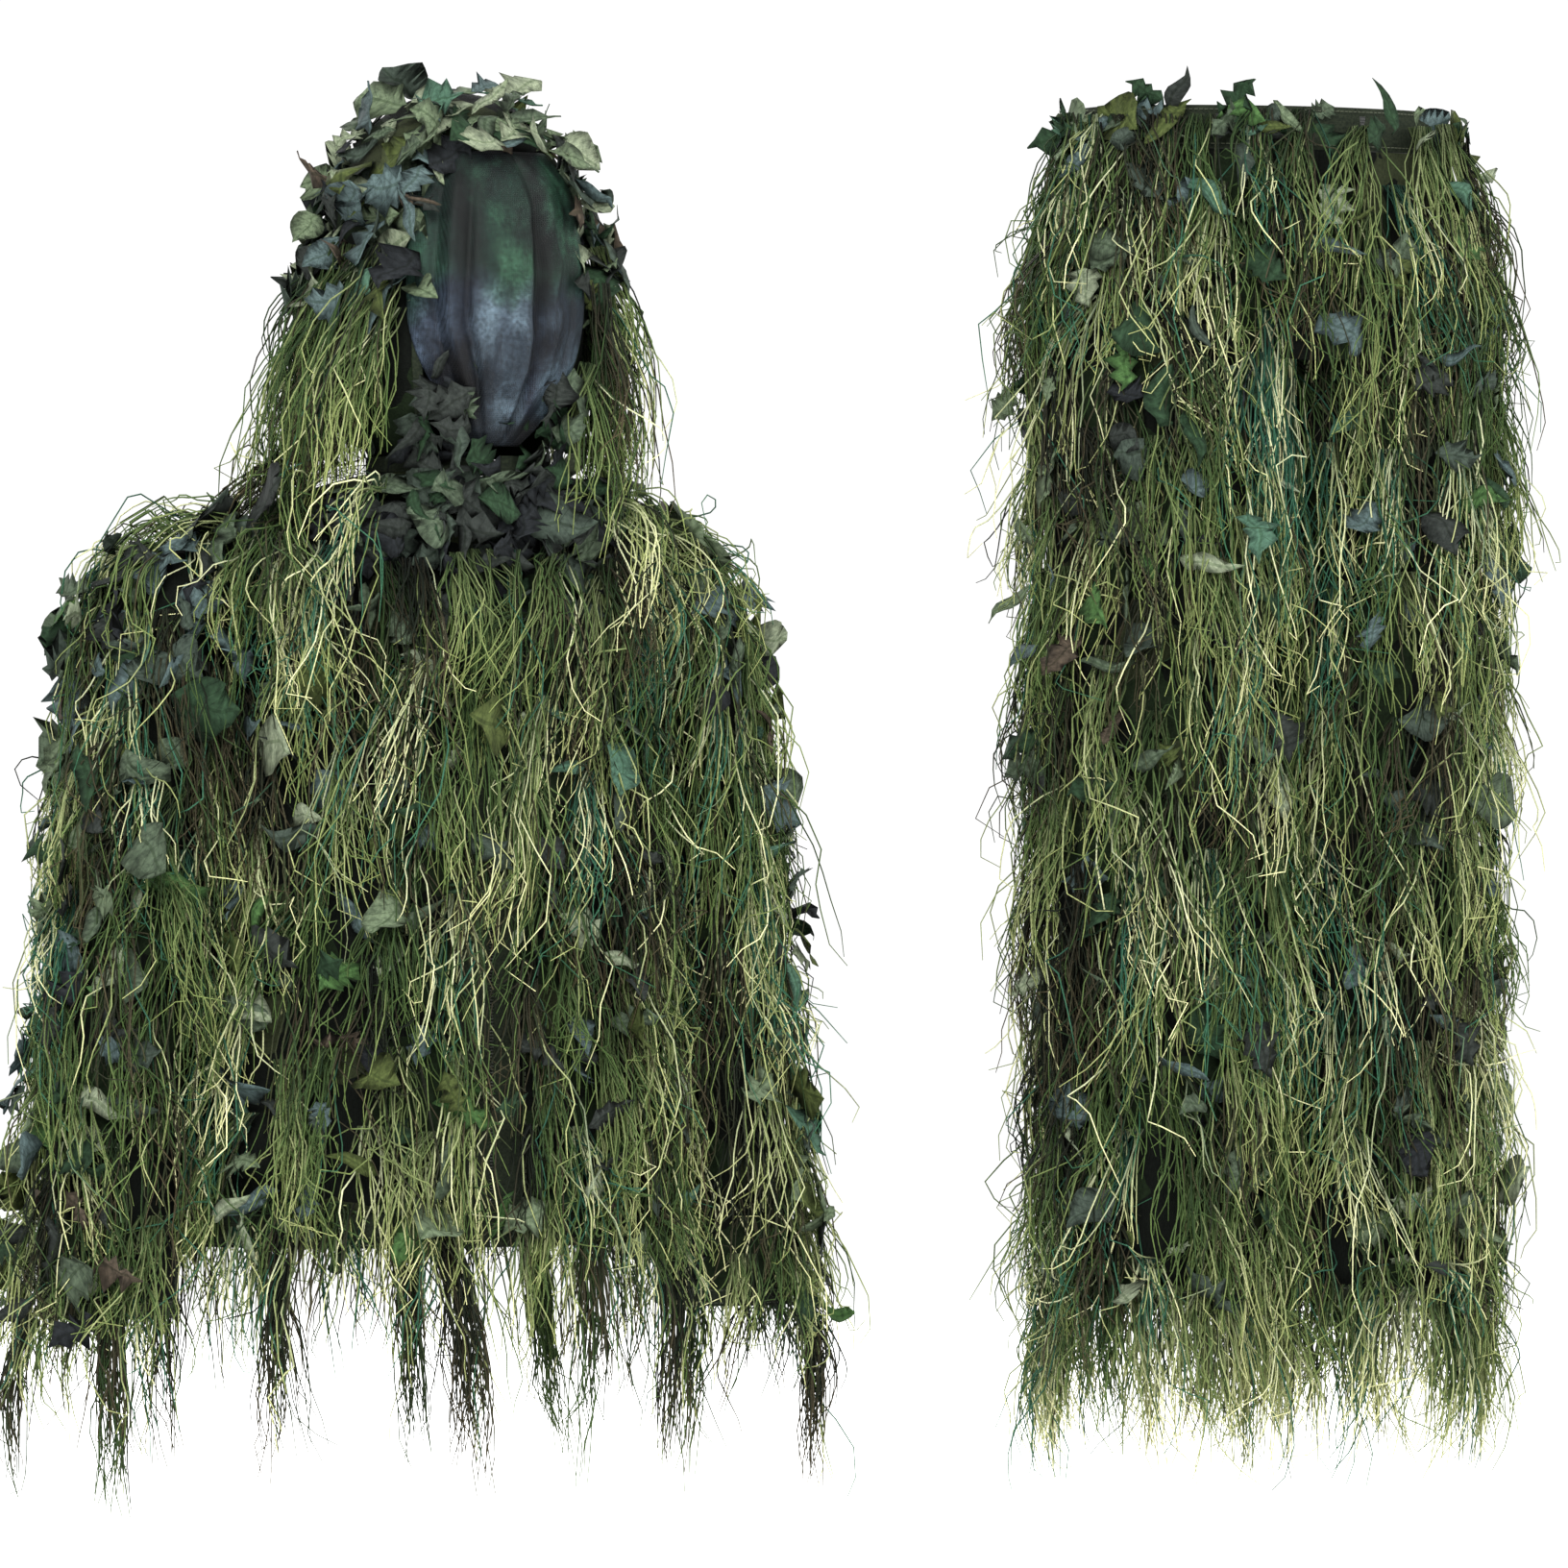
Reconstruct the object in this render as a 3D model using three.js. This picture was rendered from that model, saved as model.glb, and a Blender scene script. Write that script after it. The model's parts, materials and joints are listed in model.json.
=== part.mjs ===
// Ghillie suit: a hooded jacket with a face veil and a zip front, and a pair of pull-on trousers.
// Millimetres, +Z up, the front faces -Y, +X is the wearer's left. The origin is the underside of the
// hang loop's bar, where a hook carries the jacket.
import * as THREE from "three";

// cloth and clearances
const CLOTH = 2;
const GAP = 0.5;
const SLEEVE_GAP = 0.6;
const SEAM_ANGLE = 0.07;
const FACET_ANGLE = 15;
const BAND_HEIGHT = 30;

// jacket body, heights counted from the nape
const BODY_LENGTH = 660;
const CHEST_HALF_WIDTH = 206;
const HEM_HALF_WIDTH = 235;
const BODY_HALF_DEPTH = 160;
const NECK_HALF_WIDTH = 78;
const NECK_HALF_DEPTH = 80;
const CHEST_Z = -200;
const FRINGE_LENGTH = 175;
const PLACKET_ANGLE = 7.5;
const SIDE_ANGLE = 30;

// yarn rows
const ROW_THIN = 10;
const ROW_THICK = 24;
const FRINGE_FLARE = 2;
const SHORT_ROW_THIN = 8;
const YOKE_THICK = 16;
const NAPE_ROW_THICK = 22;
const CROWN_THIN = 6;
const CROWN_THICK = 14;
const YOKE_TOP = -18;
const YOKE_BOTTOM = -58;
const ROW_SPLIT = -360;

// sleeves
const SLEEVE_TOP = -62;
const SLEEVE_LENGTH = 673;
const CUFF_HALF_WIDTH = 62;
const CUFF_HALF_DEPTH = 70;
const CUFF_HEIGHT = 17;
const SLEEVE_FRINGE_LENGTH = 138;
const SLEEVE_YARN_ANGLE = 75;
const SLEEVE_ROW_THICK = 20;
const SLEEVE_ROW_SPLIT = -400;
const SLEEVE_ROW_TOP = -80;
const ELBOW_HALF_WIDTH = 54;
const ELBOW_HALF_DEPTH = 75;

// hood and veil
const NECK_BAND_HEIGHT = 14;
const HOOD_HALF_WIDTH = 114;
const HOOD_HALF_DEPTH = 120;
const HOOD_TOP = 345;
const BROW_Z = 284;
const FACE_ANGLE = 45;
const RIM_ANGLE = 4.8;
const RIM_THICK = 3;
const VEIL_BOTTOM = 22;
const CURTAIN_TOP = 190;
const CURTAIN_BOTTOM = 20;
const CURTAIN_THIN = 22;
const CURTAIN_THICK = 85;
const CURTAIN_FLARE = 45;
const CURTAIN_FRONT_ANGLE = 42;
const CURTAIN_BACK_ANGLE = 25;
const CROWN_BOTTOM = 205;
const HOOD_BACK_ANGLE = 30;
const NAPE_ROW_ANGLE = 28;
const NAPE_ROW_BOTTOM = 72;

// zip
const TAPE_TOP = -6;
const SLIDER_WIDTH = 11;
const SLIDER_HEIGHT = 14;
const SLIDER_DEPTH = 4.5;
const SLIDER_TOP = -8;
const PULL_WIDTH = 8;
const PULL_LENGTH = 34;
const PULL_THICK = 1.5;

// hang loop
const LOOP_HALF_WIDTH = 15;
const LOOP_STRAP = 4;
const LOOP_DEPTH = 7;
const LOOP_BACK_Y = -2.6;
const LOOP_FOOT_Z = 1;
const LOOP_BAR_Z = 27;
const LOOP_BAR = 3;

// trousers
const GARMENT_SPACING = 859;
const WAIST_TOP = 350;
const WAISTBAND_HEIGHT = 40;
const WAIST_HALF_WIDTH = 185;
const HIP_HALF_WIDTH = 214;
const HIP_HALF_DEPTH = 112;
const HIP_ROW_BOTTOM = 208;
const HIP_PIVOT_Z = 60;
const HIP_ARC_RADIUS = 142;
const HIP_ARC_GAP = 0.9;
const LEG_GAP = 0.4;
const LEG_BOTTOM = -745;
const ANKLE_HALF_WIDTH = 100;
const ANKLE_HALF_DEPTH = 88;
const ANKLE_HEIGHT = 15;
const LEG_FRINGE_LENGTH = 135;
const LEG_ROW_TOP = 98;
const LEG_ROW_SPLIT = -320;
const LEG_YARN_ANGLE = 120;
const ELASTIC_THICK = 2;
const ELASTIC_INSET = 8;

const radians = (degrees) => (degrees * Math.PI) / 180;
const mix = (a, b, t) => a + (b - a) * t;

const looks = {
  cloth: { color: 0x1c2a1e, roughness: 0.95, metalness: 0 },
  yarn: { color: 0x5d6b32, roughness: 0.9, metalness: 0 },
  leaf: { color: 0x4f6650, roughness: 0.9, metalness: 0 },
  mesh: { color: 0x232f3a, roughness: 0.8, metalness: 0 },
  tape: { color: 0x20261f, roughness: 0.85, metalness: 0 },
  zip: { color: 0x2b2b28, roughness: 0.4, metalness: 0.8 },
};
const materials = {};
for (const [name, look] of Object.entries(looks)) {
  materials[name] = new THREE.MeshStandardMaterial(look);
}

function meshOf(name, geometry, look) {
  const mesh = new THREE.Mesh(geometry, materials[look]);
  mesh.name = name;
  return mesh;
}

// A tube of elliptical sections: each knot gives a height, half width, half depth and centre.
// Sections are polygons with one corner every FACET_ANGLE, so layers at different offsets stay nested.
class Surface {
  constructor(knots, marks = []) {
    this.knots = [...knots].sort((p, q) => q.z - p.z);
    this.marks = [...knots.map((k) => k.z), ...marks].sort((p, q) => q - p);
  }

  ringPoint(knot, angle, offset) {
    const first = Math.floor(angle / FACET_ANGLE) * FACET_ANGLE;
    const share = (angle - first) / FACET_ANGLE;
    const corner = (degrees) => [
      knot.x + (knot.a + offset) * Math.cos(radians(degrees)),
      knot.y + (knot.b + offset) * Math.sin(radians(degrees)),
    ];
    const [x0, y0] = corner(first);
    const [x1, y1] = corner(first + FACET_ANGLE);
    return [mix(x0, x1, share), mix(y0, y1, share)];
  }

  point(z, angle, offset) {
    const last = this.knots.length - 2;
    let i = 0;
    while (i < last && z < this.knots[i + 1].z) i += 1;
    const above = this.knots[i];
    const below = this.knots[i + 1];
    const t = Math.min(1, Math.max(0, (above.z - z) / (above.z - below.z)));
    const [x0, y0] = this.ringPoint(above, angle, offset);
    const [x1, y1] = this.ringPoint(below, angle, offset);
    return [mix(x0, x1, t), mix(y0, y1, t), z];
  }
}

// A closed piece of cloth or yarn on a surface, between two angles and two heights. inner and outer are its
// offsets from the surface at the top and at the bottom. topAt and bottomAt curve its upper or lower edge.
function sheet(name, look, surface, { from, to, top, bottom, inner, outer, topAt, bottomAt }) {
  const wraps = to - from >= 360;
  const angles = [from];
  for (let a = Math.floor(from / FACET_ANGLE + 1) * FACET_ANGLE; a < to - 0.01; a += FACET_ANGLE) {
    if (a > from + 0.01) angles.push(a);
  }
  if (!wraps) angles.push(to);
  const between = surface.marks.filter((z, i, all) => z < top - 1 && z > bottom + 1 && z !== all[i - 1]);
  const heights = [top, ...between, bottom];
  const rows = heights.length;
  const columns = angles.length;
  const positions = [];
  for (const side of [inner, outer]) {
    heights.forEach((height, j) => {
      const t = (top - height) / (top - bottom);
      for (const angle of angles) {
        let z = height;
        if (j === 0 && topAt) z = topAt(angle);
        if (j === rows - 1 && bottomAt) z = bottomAt(angle);
        positions.push(...surface.point(z, angle, mix(side[0], side[1], t)));
      }
    });
  }
  const at = (side, j, i) => side * rows * columns + j * columns + (i % columns);
  const faces = [];
  const quad = (p, q, r, s) => faces.push(p, q, r, p, r, s);
  const spans = wraps ? columns : columns - 1;
  for (let j = 0; j < rows - 1; j += 1) {
    for (let i = 0; i < spans; i += 1) {
      quad(at(1, j, i), at(1, j + 1, i), at(1, j + 1, i + 1), at(1, j, i + 1));
      quad(at(0, j, i), at(0, j, i + 1), at(0, j + 1, i + 1), at(0, j + 1, i));
    }
    if (!wraps) {
      const end = columns - 1;
      quad(at(0, j, 0), at(0, j + 1, 0), at(1, j + 1, 0), at(1, j, 0));
      quad(at(1, j, end), at(1, j + 1, end), at(0, j + 1, end), at(0, j, end));
    }
  }
  for (let i = 0; i < spans; i += 1) {
    quad(at(0, 0, i), at(1, 0, i), at(1, 0, i + 1), at(0, 0, i + 1));
    quad(at(1, rows - 1, i), at(0, rows - 1, i), at(0, rows - 1, i + 1), at(1, rows - 1, i + 1));
  }
  const geometry = new THREE.BufferGeometry();
  geometry.setAttribute("position", new THREE.Float32BufferAttribute(positions, 3));
  geometry.setIndex(faces);
  geometry.computeVertexNormals();
  return meshOf(name, geometry, look);
}

// A flat outline in X and Z, extruded along Y from front to back.
function plate(name, look, outline, front, depth) {
  const shape = new THREE.Shape(outline.map(([x, z]) => new THREE.Vector2(x, z)));
  const geometry = new THREE.ExtrudeGeometry(shape, { depth, bevelEnabled: false });
  geometry.rotateX(Math.PI / 2);
  geometry.translate(0, front + depth, 0);
  return meshOf(name, geometry, look);
}

const FRONT = 270;
const TURN = 360;
const wholeRing = { from: 0, to: TURN };
const cloth = { inner: [0, 0], outer: [CLOTH, CLOTH] };
const rowOn = (thin, thick) => ({ inner: [CLOTH + GAP, CLOTH + GAP], outer: [thin, thick] });
const fringeOf = (thick) => ({ inner: [0, FRINGE_FLARE], outer: [thick, thick] });

// jacket body
const hemZ = -BODY_LENGTH;
const bandZ = hemZ - BAND_HEIGHT;
const fringeZ = bandZ - FRINGE_LENGTH;
const bodyKnot = (z, a, b) => ({ z, a, b, x: 0, y: b - BODY_HALF_DEPTH });
// a section of the shoulder, part of the way from the neck's size to the chest's
const shoulderKnot = (z, width, depth) => bodyKnot(z,
  mix(NECK_HALF_WIDTH, CHEST_HALF_WIDTH, width), mix(NECK_HALF_DEPTH, BODY_HALF_DEPTH, depth));
const bodySurface = new Surface([
  bodyKnot(0, NECK_HALF_WIDTH, NECK_HALF_DEPTH),
  shoulderKnot(-12, 0.33, 0.19),
  shoulderKnot(-30, 0.68, 0.48),
  shoulderKnot(-60, 0.88, 0.75),
  shoulderKnot(-120, 0.95, 0.94),
  bodyKnot(CHEST_Z, CHEST_HALF_WIDTH, BODY_HALF_DEPTH),
  bodyKnot(hemZ, HEM_HALF_WIDTH, BODY_HALF_DEPTH),
  bodyKnot(fringeZ, HEM_HALF_WIDTH, BODY_HALF_DEPTH),
], [YOKE_BOTTOM, ROW_SPLIT]);

const leftFront = { from: FRONT + PLACKET_ANGLE, to: TURN - SEAM_ANGLE };
const rightFront = { from: TURN / 2 + SEAM_ANGLE, to: FRONT - PLACKET_ANGLE };
const leftYarn = { from: FRONT + PLACKET_ANGLE, to: TURN - SIDE_ANGLE };
const rightYarn = { from: TURN / 2 + SIDE_ANGLE, to: FRONT - PLACKET_ANGLE };
const backYarn = { from: SIDE_ANGLE, to: TURN / 2 - SIDE_ANGLE };
const frontYarn = { from: TURN / 2 + SIDE_ANGLE, to: TURN - SIDE_ANGLE };
const openRing = { from: FRONT + PLACKET_ANGLE, to: FRONT - PLACKET_ANGLE + TURN };

function jacketBody() {
  const span = { top: -GAP, bottom: hemZ + GAP };
  const backSpan = { from: SEAM_ANGLE, to: TURN / 2 - SEAM_ANGLE };
  const tape = { ...cloth, top: TAPE_TOP, bottom: bandZ };
  const tapeEdge = 0.2;
  const pieces = [
    sheet("back_panel", "cloth", bodySurface, { ...backSpan, ...span, ...cloth }),
    sheet("front_panel_left", "cloth", bodySurface, { ...leftFront, ...span, ...cloth }),
    sheet("front_panel_right", "cloth", bodySurface, { ...rightFront, ...span, ...cloth }),
    sheet("hem_band", "tape", bodySurface, { ...openRing, top: hemZ, bottom: bandZ, ...cloth }),
    sheet("zip_tape_left", "tape", bodySurface,
      { ...tape, from: FRONT + tapeEdge, to: FRONT + PLACKET_ANGLE - tapeEdge }),
    sheet("zip_tape_right", "tape", bodySurface,
      { ...tape, from: FRONT - PLACKET_ANGLE + tapeEdge, to: FRONT - tapeEdge }),
    sheet("yoke_row", "yarn", bodySurface,
      { ...openRing, top: YOKE_TOP, bottom: YOKE_BOTTOM, ...rowOn(SHORT_ROW_THIN, YOKE_THICK) }),
    sheet("hem_fringe_front", "yarn", bodySurface,
      { ...frontYarn, top: bandZ - GAP, bottom: fringeZ, ...fringeOf(ROW_THICK) }),
    sheet("hem_fringe_back", "yarn", bodySurface,
      { ...backYarn, top: bandZ - GAP, bottom: fringeZ, ...fringeOf(ROW_THICK) }),
  ];
  const rows = { upper: [YOKE_BOTTOM, ROW_SPLIT], lower: [ROW_SPLIT, bandZ] };
  const sides = { front_left: leftYarn, front_right: rightYarn, back: backYarn };
  for (const [rowName, [rowTop, rowBottom]] of Object.entries(rows)) {
    for (const [sideName, range] of Object.entries(sides)) {
      pieces.push(sheet(`${rowName}_row_${sideName}`, "yarn", bodySurface,
        { ...range, top: rowTop - GAP, bottom: rowBottom, ...rowOn(ROW_THIN, ROW_THICK) }));
    }
  }
  return pieces;
}

function neckBand() {
  const y = NECK_HALF_DEPTH - BODY_HALF_DEPTH;
  const knot = (z) => ({ z, a: NECK_HALF_WIDTH, b: NECK_HALF_DEPTH, x: 0, y });
  const surface = new Surface([knot(NECK_BAND_HEIGHT), knot(0)]);
  return sheet("neck_band", "tape", surface, { ...openRing, top: NECK_BAND_HEIGHT, bottom: 0, ...cloth });
}

function hangLoop() {
  const outer = LOOP_HALF_WIDTH;
  const inner = LOOP_HALF_WIDTH - LOOP_STRAP;
  const barTop = LOOP_BAR_Z + LOOP_BAR;
  const outline = [
    [-outer, LOOP_FOOT_Z], [-inner, LOOP_FOOT_Z], [-inner, LOOP_BAR_Z], [inner, LOOP_BAR_Z],
    [inner, LOOP_FOOT_Z], [outer, LOOP_FOOT_Z], [outer, barTop], [-outer, barTop],
  ];
  return plate("hang_loop", "tape", outline, LOOP_BACK_Y - LOOP_DEPTH, LOOP_DEPTH);
}

// the slider runs on the tapes and the pull hangs from its top edge
function zipHardware() {
  const sliderBack = -BODY_HALF_DEPTH - CLOTH - GAP;
  const half = SLIDER_WIDTH / 2;
  const foot = half * 0.6;
  const sliderBottom = SLIDER_TOP - SLIDER_HEIGHT;
  const slider = plate("zip_slider", "zip",
    [[-foot, sliderBottom], [foot, sliderBottom], [half, SLIDER_TOP], [-half, SLIDER_TOP]],
    sliderBack - SLIDER_DEPTH, SLIDER_DEPTH);
  const pullTop = SLIDER_TOP + GAP;
  const pullBottom = pullTop - PULL_LENGTH;
  const pullHalf = PULL_WIDTH / 2;
  const pull = plate("zip_pull", "zip",
    [[-pullHalf, pullBottom], [pullHalf, pullBottom], [pullHalf, pullTop], [-pullHalf, pullTop]],
    sliderBack - SLIDER_DEPTH - GAP - PULL_THICK, PULL_THICK);
  return [slider, pull];
}

// Each sleeve hangs beside the body. Its inner side keeps clear of the body's widest section above it,
// so the sleeve can swing about the shoulder.
function sleeve(side, sign) {
  const bodyHalfWidth = (z) => {
    const t = Math.min(1, Math.max(0, (CHEST_Z - z) / (CHEST_Z - hemZ)));
    return mix(CHEST_HALF_WIDTH, HEM_HALF_WIDTH, t);
  };
  const cuffZ = SLEEVE_TOP - SLEEVE_LENGTH;
  const bandBottom = cuffZ - CUFF_HEIGHT;
  const fringeBottom = bandBottom - SLEEVE_FRINGE_LENGTH;
  const centre = (z, a) => sign * (bodyHalfWidth(z) + 2 * CLOTH + SLEEVE_GAP + a);
  const knot = (z, a, b) => ({ z, a, b, x: centre(z, a), y: 0 });
  // below the elbow the sleeve narrows evenly to the cuff, and stays that size past it
  const forearmKnot = (z) => {
    const share = Math.min(1, (SLEEVE_ROW_SPLIT - z) / (SLEEVE_ROW_SPLIT - cuffZ));
    const halfWidth = mix(ELBOW_HALF_WIDTH, CUFF_HALF_WIDTH, share);
    const halfDepth = mix(ELBOW_HALF_DEPTH, CUFF_HALF_DEPTH, share);
    return knot(z, halfWidth, halfDepth);
  };
  const surface = new Surface([
    knot(SLEEVE_TOP, 18, 40),
    knot(SLEEVE_ROW_TOP, 32, 60),
    knot(-110, 42, 72),
    knot(CHEST_Z, 47, 76),
    knot(SLEEVE_ROW_SPLIT, ELBOW_HALF_WIDTH, ELBOW_HALF_DEPTH),
    forearmKnot(hemZ),
    knot(cuffZ, CUFF_HALF_WIDTH, CUFF_HALF_DEPTH),
    knot(fringeBottom, CUFF_HALF_WIDTH, CUFF_HALF_DEPTH),
  ]);
  const middle = sign > 0 ? TURN : TURN / 2;
  const outside = { from: middle - SLEEVE_YARN_ANGLE, to: middle + SLEEVE_YARN_ANGLE };
  const row = rowOn(SHORT_ROW_THIN, SLEEVE_ROW_THICK);
  return [
    sheet(`sleeve_${side}`, "cloth", surface, { ...wholeRing, top: SLEEVE_TOP, bottom: cuffZ, ...cloth }),
    sheet(`cuff_${side}`, "tape", surface, { ...wholeRing, top: cuffZ - GAP, bottom: bandBottom, ...cloth }),
    sheet(`sleeve_upper_row_${side}`, "yarn", surface,
      { ...outside, top: SLEEVE_ROW_TOP, bottom: SLEEVE_ROW_SPLIT + GAP, ...row }),
    sheet(`sleeve_lower_row_${side}`, "yarn", surface,
      { ...outside, top: SLEEVE_ROW_SPLIT, bottom: bandBottom, ...row }),
    sheet(`sleeve_fringe_${side}`, "yarn", surface,
      { ...outside, top: bandBottom - GAP, bottom: fringeBottom, ...fringeOf(SLEEVE_ROW_THICK) }),
  ];
}

function hood() {
  const base = NECK_BAND_HEIGHT + GAP;
  const neckY = NECK_HALF_DEPTH - BODY_HALF_DEPTH;
  // width and depth are shares of the hood's widest section
  const knot = (z, width, depth, y) => {
    return { z, a: width * HOOD_HALF_WIDTH, b: depth * HOOD_HALF_DEPTH, x: 0, y };
  };
  const surface = new Surface([
    knot(HOOD_TOP, 0.035, 0.04, -72),
    knot(330, 0.4, 0.42, -74),
    knot(300, 0.7, 0.73, -78),
    knot(250, 0.91, 0.93, -82),
    knot(180, 1, 1, -86),
    knot(100, 0.965, 0.93, -88),
    knot(40, 0.84, 0.77, -86),
    { z: base, a: NECK_HALF_WIDTH, b: NECK_HALF_DEPTH, x: 0, y: neckY },
  ], [BROW_Z, CROWN_BOTTOM, CURTAIN_TOP, NAPE_ROW_BOTTOM]);
  const whole = { top: HOOD_TOP, bottom: base, ...cloth };
  const backFrom = TURN / 4 - HOOD_BACK_ANGLE;
  const backTo = TURN / 4 + HOOD_BACK_ANGLE;
  const faceLeft = FRONT + FACE_ANGLE;
  const faceRight = FRONT - FACE_ANGLE;
  const rim = { top: BROW_Z - GAP, bottom: base + GAP, inner: [0, 0], outer: [RIM_THICK, RIM_THICK] };
  const curtain = {
    top: CURTAIN_TOP,
    bottom: CURTAIN_BOTTOM,
    inner: [CLOTH + GAP, CURTAIN_FLARE],
    outer: [CURTAIN_THIN, CURTAIN_THICK],
  };
  const leftSide = { from: TURN - CURTAIN_FRONT_ANGLE, to: TURN + CURTAIN_BACK_ANGLE };
  const rightSide = { from: TURN / 2 - CURTAIN_BACK_ANGLE, to: TURN / 2 + CURTAIN_FRONT_ANGLE };
  const wrapFrom = faceLeft + SEAM_ANGLE;
  const wrapTo = TURN + backFrom - SEAM_ANGLE;
  const napeRow = {
    from: TURN / 4 - NAPE_ROW_ANGLE,
    to: TURN / 4 + NAPE_ROW_ANGLE,
    ...rowOn(SHORT_ROW_THIN, NAPE_ROW_THICK),
  };
  const pieces = [
    sheet("hood_left", "cloth", surface, { ...whole, from: wrapFrom, to: wrapTo }),
    sheet("hood_back", "cloth", surface, { ...whole, from: backFrom + SEAM_ANGLE, to: backTo - SEAM_ANGLE }),
    sheet("hood_right", "cloth", surface,
      { ...whole, from: backTo + SEAM_ANGLE, to: faceRight - SEAM_ANGLE }),
    sheet("hood_brow", "cloth", surface,
      { ...cloth, top: HOOD_TOP, bottom: BROW_Z, from: faceRight + SEAM_ANGLE, to: faceLeft - SEAM_ANGLE }),
    sheet("hood_rim_left", "tape", surface,
      { ...rim, from: faceLeft - RIM_ANGLE, to: faceLeft - 3 * SEAM_ANGLE }),
    sheet("hood_rim_right", "tape", surface,
      { ...rim, from: faceRight + 3 * SEAM_ANGLE, to: faceRight + RIM_ANGLE }),
    sheet("curtain_left", "yarn", surface, { ...curtain, ...leftSide }),
    sheet("curtain_right", "yarn", surface, { ...curtain, ...rightSide }),
    sheet("hood_back_row", "yarn", surface,
      { ...napeRow, top: CROWN_BOTTOM - GAP, bottom: NAPE_ROW_BOTTOM }),
    sheet("crown_leaves", "leaf", surface,
      { from: 0, to: TURN / 2, top: HOOD_TOP - 2, bottom: CROWN_BOTTOM, ...rowOn(CROWN_THIN, CROWN_THICK) }),
  ];
  const veilEdge = RIM_ANGLE + 4 * SEAM_ANGLE;
  const veilSpan = { from: faceRight + veilEdge, to: faceLeft - veilEdge };
  const veil = sheet("face_veil", "mesh", surface,
    { ...cloth, ...veilSpan, top: BROW_Z - GAP, bottom: VEIL_BOTTOM });
  return [...pieces, veil];
}

// The legs meet the hip along an arc about the hip axis, so each leg can swing.
const arcHeight = (y, radius) => HIP_PIVOT_Z + Math.sqrt(radius ** 2 - y ** 2);

function trouserHip() {
  const bandBottom = WAIST_TOP - WAISTBAND_HEIGHT;
  const knot = (z, a, b) => ({ z, a, b, x: 0, y: 0 });
  const surface = new Surface([
    knot(WAIST_TOP, WAIST_HALF_WIDTH, HIP_HALF_DEPTH - 7),
    knot(bandBottom, WAIST_HALF_WIDTH + 5, HIP_HALF_DEPTH - 4),
    knot(HIP_ROW_BOTTOM, HIP_HALF_WIDTH, HIP_HALF_DEPTH),
    knot(HIP_PIVOT_Z, HIP_HALF_WIDTH, HIP_HALF_DEPTH),
  ]);
  const bottomAt = (angle) => {
    const y = HIP_HALF_DEPTH * Math.sin(radians(angle));
    return arcHeight(y, HIP_ARC_RADIUS + HIP_ARC_GAP);
  };
  const lowest = HIP_PIVOT_Z + 80;
  const panel = { ...cloth, top: bandBottom - GAP, bottom: lowest, bottomAt };
  const quarter = (first, last) => ({ from: first + SEAM_ANGLE, to: last - SEAM_ANGLE });
  const row = { top: bandBottom - GAP, bottom: HIP_ROW_BOTTOM, ...rowOn(SHORT_ROW_THIN, NAPE_ROW_THICK) };
  const back = -GAP - ELASTIC_THICK;
  const elastic = {
    top: WAIST_TOP - ELASTIC_INSET,
    bottom: bandBottom + ELASTIC_INSET,
    inner: [back, back],
    outer: [-GAP, -GAP],
  };
  return [
    sheet("hip_front_left", "cloth", surface, { ...panel, ...quarter(FRONT, TURN) }),
    sheet("hip_front_right", "cloth", surface, { ...panel, ...quarter(TURN / 2, FRONT) }),
    sheet("hip_back", "cloth", surface, { ...panel, ...quarter(0, TURN / 2) }),
    sheet("waistband", "tape", surface, { ...wholeRing, top: WAIST_TOP, bottom: bandBottom, ...cloth }),
    sheet("waist_elastic", "tape", surface,
      { ...wholeRing, ...elastic }),
    sheet("hip_row_front", "yarn", surface, { ...row, ...quarter(TURN / 2, TURN) }),
    sheet("hip_row_back", "yarn", surface, { ...row, ...quarter(0, TURN / 2) }),
  ];
}

function trouserLeg(side, sign) {
  const cuffBottom = LEG_BOTTOM - ANKLE_HEIGHT;
  const fringeBottom = cuffBottom - LEG_FRINGE_LENGTH;
  const thigh = (HIP_HALF_WIDTH - CLOTH) / 2;
  const knot = (z, a, b) => ({ z, a, b, x: sign * (a + CLOTH + LEG_GAP), y: 0 });
  const surface = new Surface([
    knot(HIP_PIVOT_Z + HIP_ARC_RADIUS, thigh, HIP_HALF_DEPTH),
    knot(LEG_ROW_TOP, thigh, HIP_HALF_DEPTH),
    knot(LEG_BOTTOM, ANKLE_HALF_WIDTH, ANKLE_HALF_DEPTH),
    knot(fringeBottom, ANKLE_HALF_WIDTH, ANKLE_HALF_DEPTH),
  ], [LEG_ROW_SPLIT]);
  const topAt = (angle) => arcHeight((HIP_HALF_DEPTH + CLOTH) * Math.sin(radians(angle)), HIP_ARC_RADIUS);
  const middle = sign > 0 ? TURN : TURN / 2;
  const outside = { from: middle - LEG_YARN_ANGLE, to: middle + LEG_YARN_ANGLE };
  const row = rowOn(ROW_THIN, ROW_THICK);
  const top = HIP_PIVOT_Z + HIP_ARC_RADIUS;
  return [
    sheet(`leg_${side}`, "cloth", surface, { ...wholeRing, top, topAt, bottom: LEG_BOTTOM, ...cloth }),
    sheet(`ankle_cuff_${side}`, "tape", surface,
      { ...wholeRing, top: LEG_BOTTOM - GAP, bottom: cuffBottom, ...cloth }),
    sheet(`leg_upper_row_${side}`, "yarn", surface,
      { ...outside, top: LEG_ROW_TOP, bottom: LEG_ROW_SPLIT + GAP, ...row }),
    sheet(`leg_lower_row_${side}`, "yarn", surface,
      { ...outside, top: LEG_ROW_SPLIT, bottom: cuffBottom, ...row }),
    sheet(`leg_fringe_${side}`, "yarn", surface,
      { ...outside, top: cuffBottom - GAP, bottom: fringeBottom, ...fringeOf(ROW_THICK) }),
  ];
}

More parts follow.
